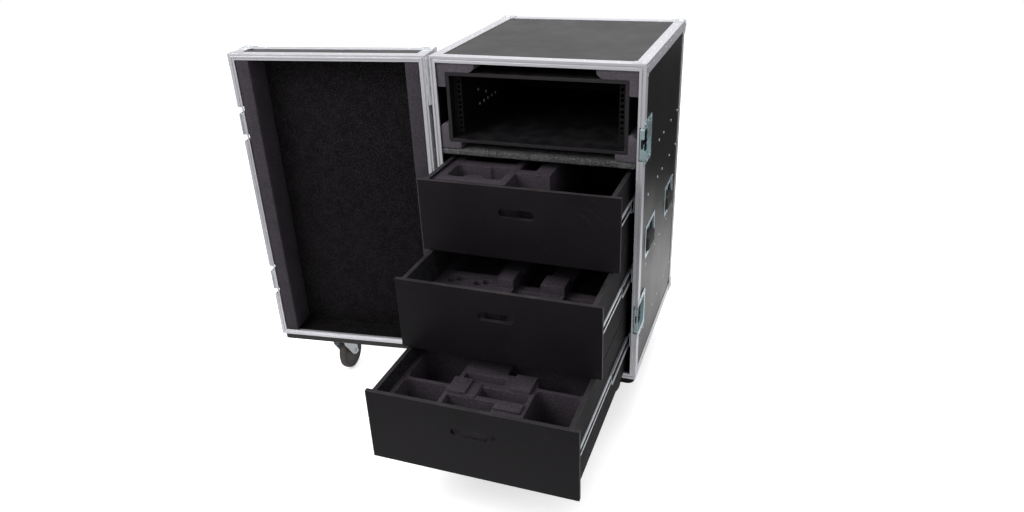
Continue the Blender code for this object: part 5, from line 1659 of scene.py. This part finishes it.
@dataclass
class Studio:
    """Camera, pale floor, soft lamps and the white surround."""

    eye: Point = (0.669, -2.253, 1.4235)
    yaw: float = -21.07
    pitch: float = 26.45
    roll: float = -2.543
    lens: float = 27.56
    floor: float = -0.150
    glow: float = 0.54
    pale: float = 0.9
    dark: float = 2.0

    def build(self) -> None:
        """Set up the view, the floor and the light."""
        self.camera()
        self.ground()
        self.surround()
        self.lamp("key_lamp", (-1.6, -2.2, 2.6), (0.0, -0.3, 0.4), 1.8, 60.0)
        self.lamp("top_lamp", (0.2, 0.6, 3.0), (0.0, 0.0, 0.6), 2.2, 45.0)
        bpy.context.scene.view_settings.view_transform = "Standard"

    def camera(self) -> None:
        """Camera at the photograph's viewpoint."""
        yaw, pitch, roll = (math.radians(v) for v in (self.yaw, self.pitch, self.roll))
        ahead = Vector((math.sin(yaw) * math.cos(pitch), math.cos(yaw) * math.cos(pitch),
                        -math.sin(pitch)))
        right = Vector((math.cos(yaw), -math.sin(yaw), 0.0))
        up = right.cross(ahead)
        side = right * math.cos(roll) + up * math.sin(roll)
        top = up * math.cos(roll) - right * math.sin(roll)
        view = bpy.data.cameras.new("view")
        view.lens = self.lens
        view.sensor_width = 36.0
        view.sensor_fit = "HORIZONTAL"
        holder = bpy.data.objects.new("view", view)
        turn = Matrix((side, top, -ahead)).transposed().to_4x4()
        holder.matrix_world = Matrix.Translation(self.eye) @ turn
        bpy.context.scene.collection.objects.link(holder)
        bpy.context.scene.camera = holder

    def ground(self) -> None:
        """White floor that keeps a soft shadow, and looks darker far off in the case's gloss."""
        shape = bmesh.new()
        bmesh.ops.create_grid(shape, x_segments=8, y_segments=8, size=6.0)
        mesh = bpy.data.meshes.new("studio_floor")
        shape.to_mesh(mesh)
        shape.free()
        floor = bpy.data.objects.new("studio_floor", mesh)
        floor.location = (0.0, 0.0, self.floor)
        bpy.context.scene.collection.objects.link(floor)
        material = bpy.data.materials.new("studio_floor")
        material.use_nodes = True
        graph = Graph(material.node_tree)
        shader = material.node_tree.nodes["Principled BSDF"]
        shader.inputs["Roughness"].default_value = 1.0
        shader.inputs["Specular IOR Level"].default_value = 0.0
        glow = graph.add("Emission", Color=(1.0, 1.0, 1.0, 1.0))
        path = graph.add("LightPath").outputs
        seen = graph.sum("MAXIMUM", path["Is Camera Ray"], path["Is Transmission Ray"])
        graph.feed(glow.inputs["Strength"], graph.product(seen, self.glow))
        away = graph.add("VectorMath", {"operation": "LENGTH"})
        graph.feed(away.inputs[0], graph.add("NewGeometry").outputs["Position"])
        fall = graph.between(away.outputs["Value"], self.pale, self.dark)
        shown = graph.product(fall, path["Is Glossy Ray"])
        tone = graph.blend(shown, (0.92, 0.92, 0.92), (0.04, 0.04, 0.04))
        graph.feed(shader.inputs["Base Color"], tone)
        total = graph.add("AddShader")
        graph.feed(total.inputs[0], shader.outputs[0])
        graph.feed(total.inputs[1], glow.outputs[0])
        graph.feed(material.node_tree.nodes["Material Output"].inputs["Surface"], total.outputs[0])
        mesh.materials.append(material)

    def surround(self) -> None:
        """White to the camera, soft light to the case, and bright and dim bands to its gloss."""
        world = bpy.data.worlds.new("surround")
        bpy.context.scene.world = world
        world.use_nodes = True
        graph = Graph(world.node_tree)
        background = world.node_tree.nodes["Background"]
        path = graph.add("LightPath").outputs
        seen = graph.sum("MAXIMUM", path["Is Camera Ray"], path["Is Transmission Ray"])
        height = graph.add("SeparateXYZ", Vector=graph.add("TexCoord").outputs["Generated"]).outputs[2]
        band = graph.add("ValToRGB", Fac=graph.between(height, -1.0, 1.0))
        ramp = band.color_ramp
        ramp.elements[0].position = 0.0
        ramp.elements[0].color = (0.30, 0.30, 0.30, 1.0)
        ramp.elements[1].position = 1.0
        ramp.elements[1].color = (0.85, 0.85, 0.86, 1.0)
        for spot, level in ((0.50, 0.30), (0.60, 0.60), (0.68, 0.48), (0.80, 0.55)):
            ramp.elements.new(spot).color = (level, level, level * 1.01, 1.0)
        shine = graph.blend(path["Is Glossy Ray"], (0.72, 0.72, 0.73), band.outputs[0])
        graph.feed(background.inputs["Color"], graph.blend(seen, shine, (1.0, 1.0, 1.0)))

    def lamp(self, name: str, spot: Point, aim: Point, size: float, power: float) -> None:
        """Square soft lamp aimed at a point.

        Args:
            name: the lamp's name.
            spot: where it hangs.
            aim: what it points at.
            size: length of its sides.
            power: watts.
        """
        light = bpy.data.lights.new(name, "AREA")
        light.size = size
        light.energy = power
        holder = bpy.data.objects.new(name, light)
        turn = (Vector(aim) - Vector(spot)).to_track_quat("-Z", "Y").to_matrix().to_4x4()
        holder.matrix_world = Matrix.Translation(spot) @ turn
        bpy.context.scene.collection.objects.link(holder)


def casters() -> list[Caster]:
    """The five casters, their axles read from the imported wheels."""
    made = []
    for number, turn in enumerate(CASTER_TURNS, start=1):
        low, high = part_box(f"caster_{number}_wheel")
        across = Vector((math.cos(math.radians(turn)), math.sin(math.radians(turn)), 0.0))
        made.append(Caster(number, (low + high) / 2, across))
    return made


def main() -> None:
    """Build every sub-assembly in order."""
    logging.basicConfig(level=logging.INFO, format="%(message)s")
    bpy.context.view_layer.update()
    CaseShell().build()
    RackBay().build()
    Lid().build()
    for maker, number, base, out, runner in (
        (TopDrawer, 1, 0.4455, 0.172, 0.561),
        (MiddleDrawer, 2, 0.2330, 0.352, 0.3435),
        (BottomDrawer, 3, 0.0205, 0.564, 0.126),
    ):
        maker(number, base, out, runner).build()
    for caster in casters():
        caster.build()
    for number, height in enumerate(LATCH_HEIGHTS, start=1):
        Latch(number, height).build()
    for number, (side, depth) in enumerate(((-1, 0.186), (-1, 0.464), (1, 0.150), (1, 0.464)), 1):
        SpringHandle(number, side, depth).build()
    for word, level in HINGE_HEIGHTS.items():
        Hinge(word, level).build()
    Studio().build()


if __name__ == "__main__":
    main()
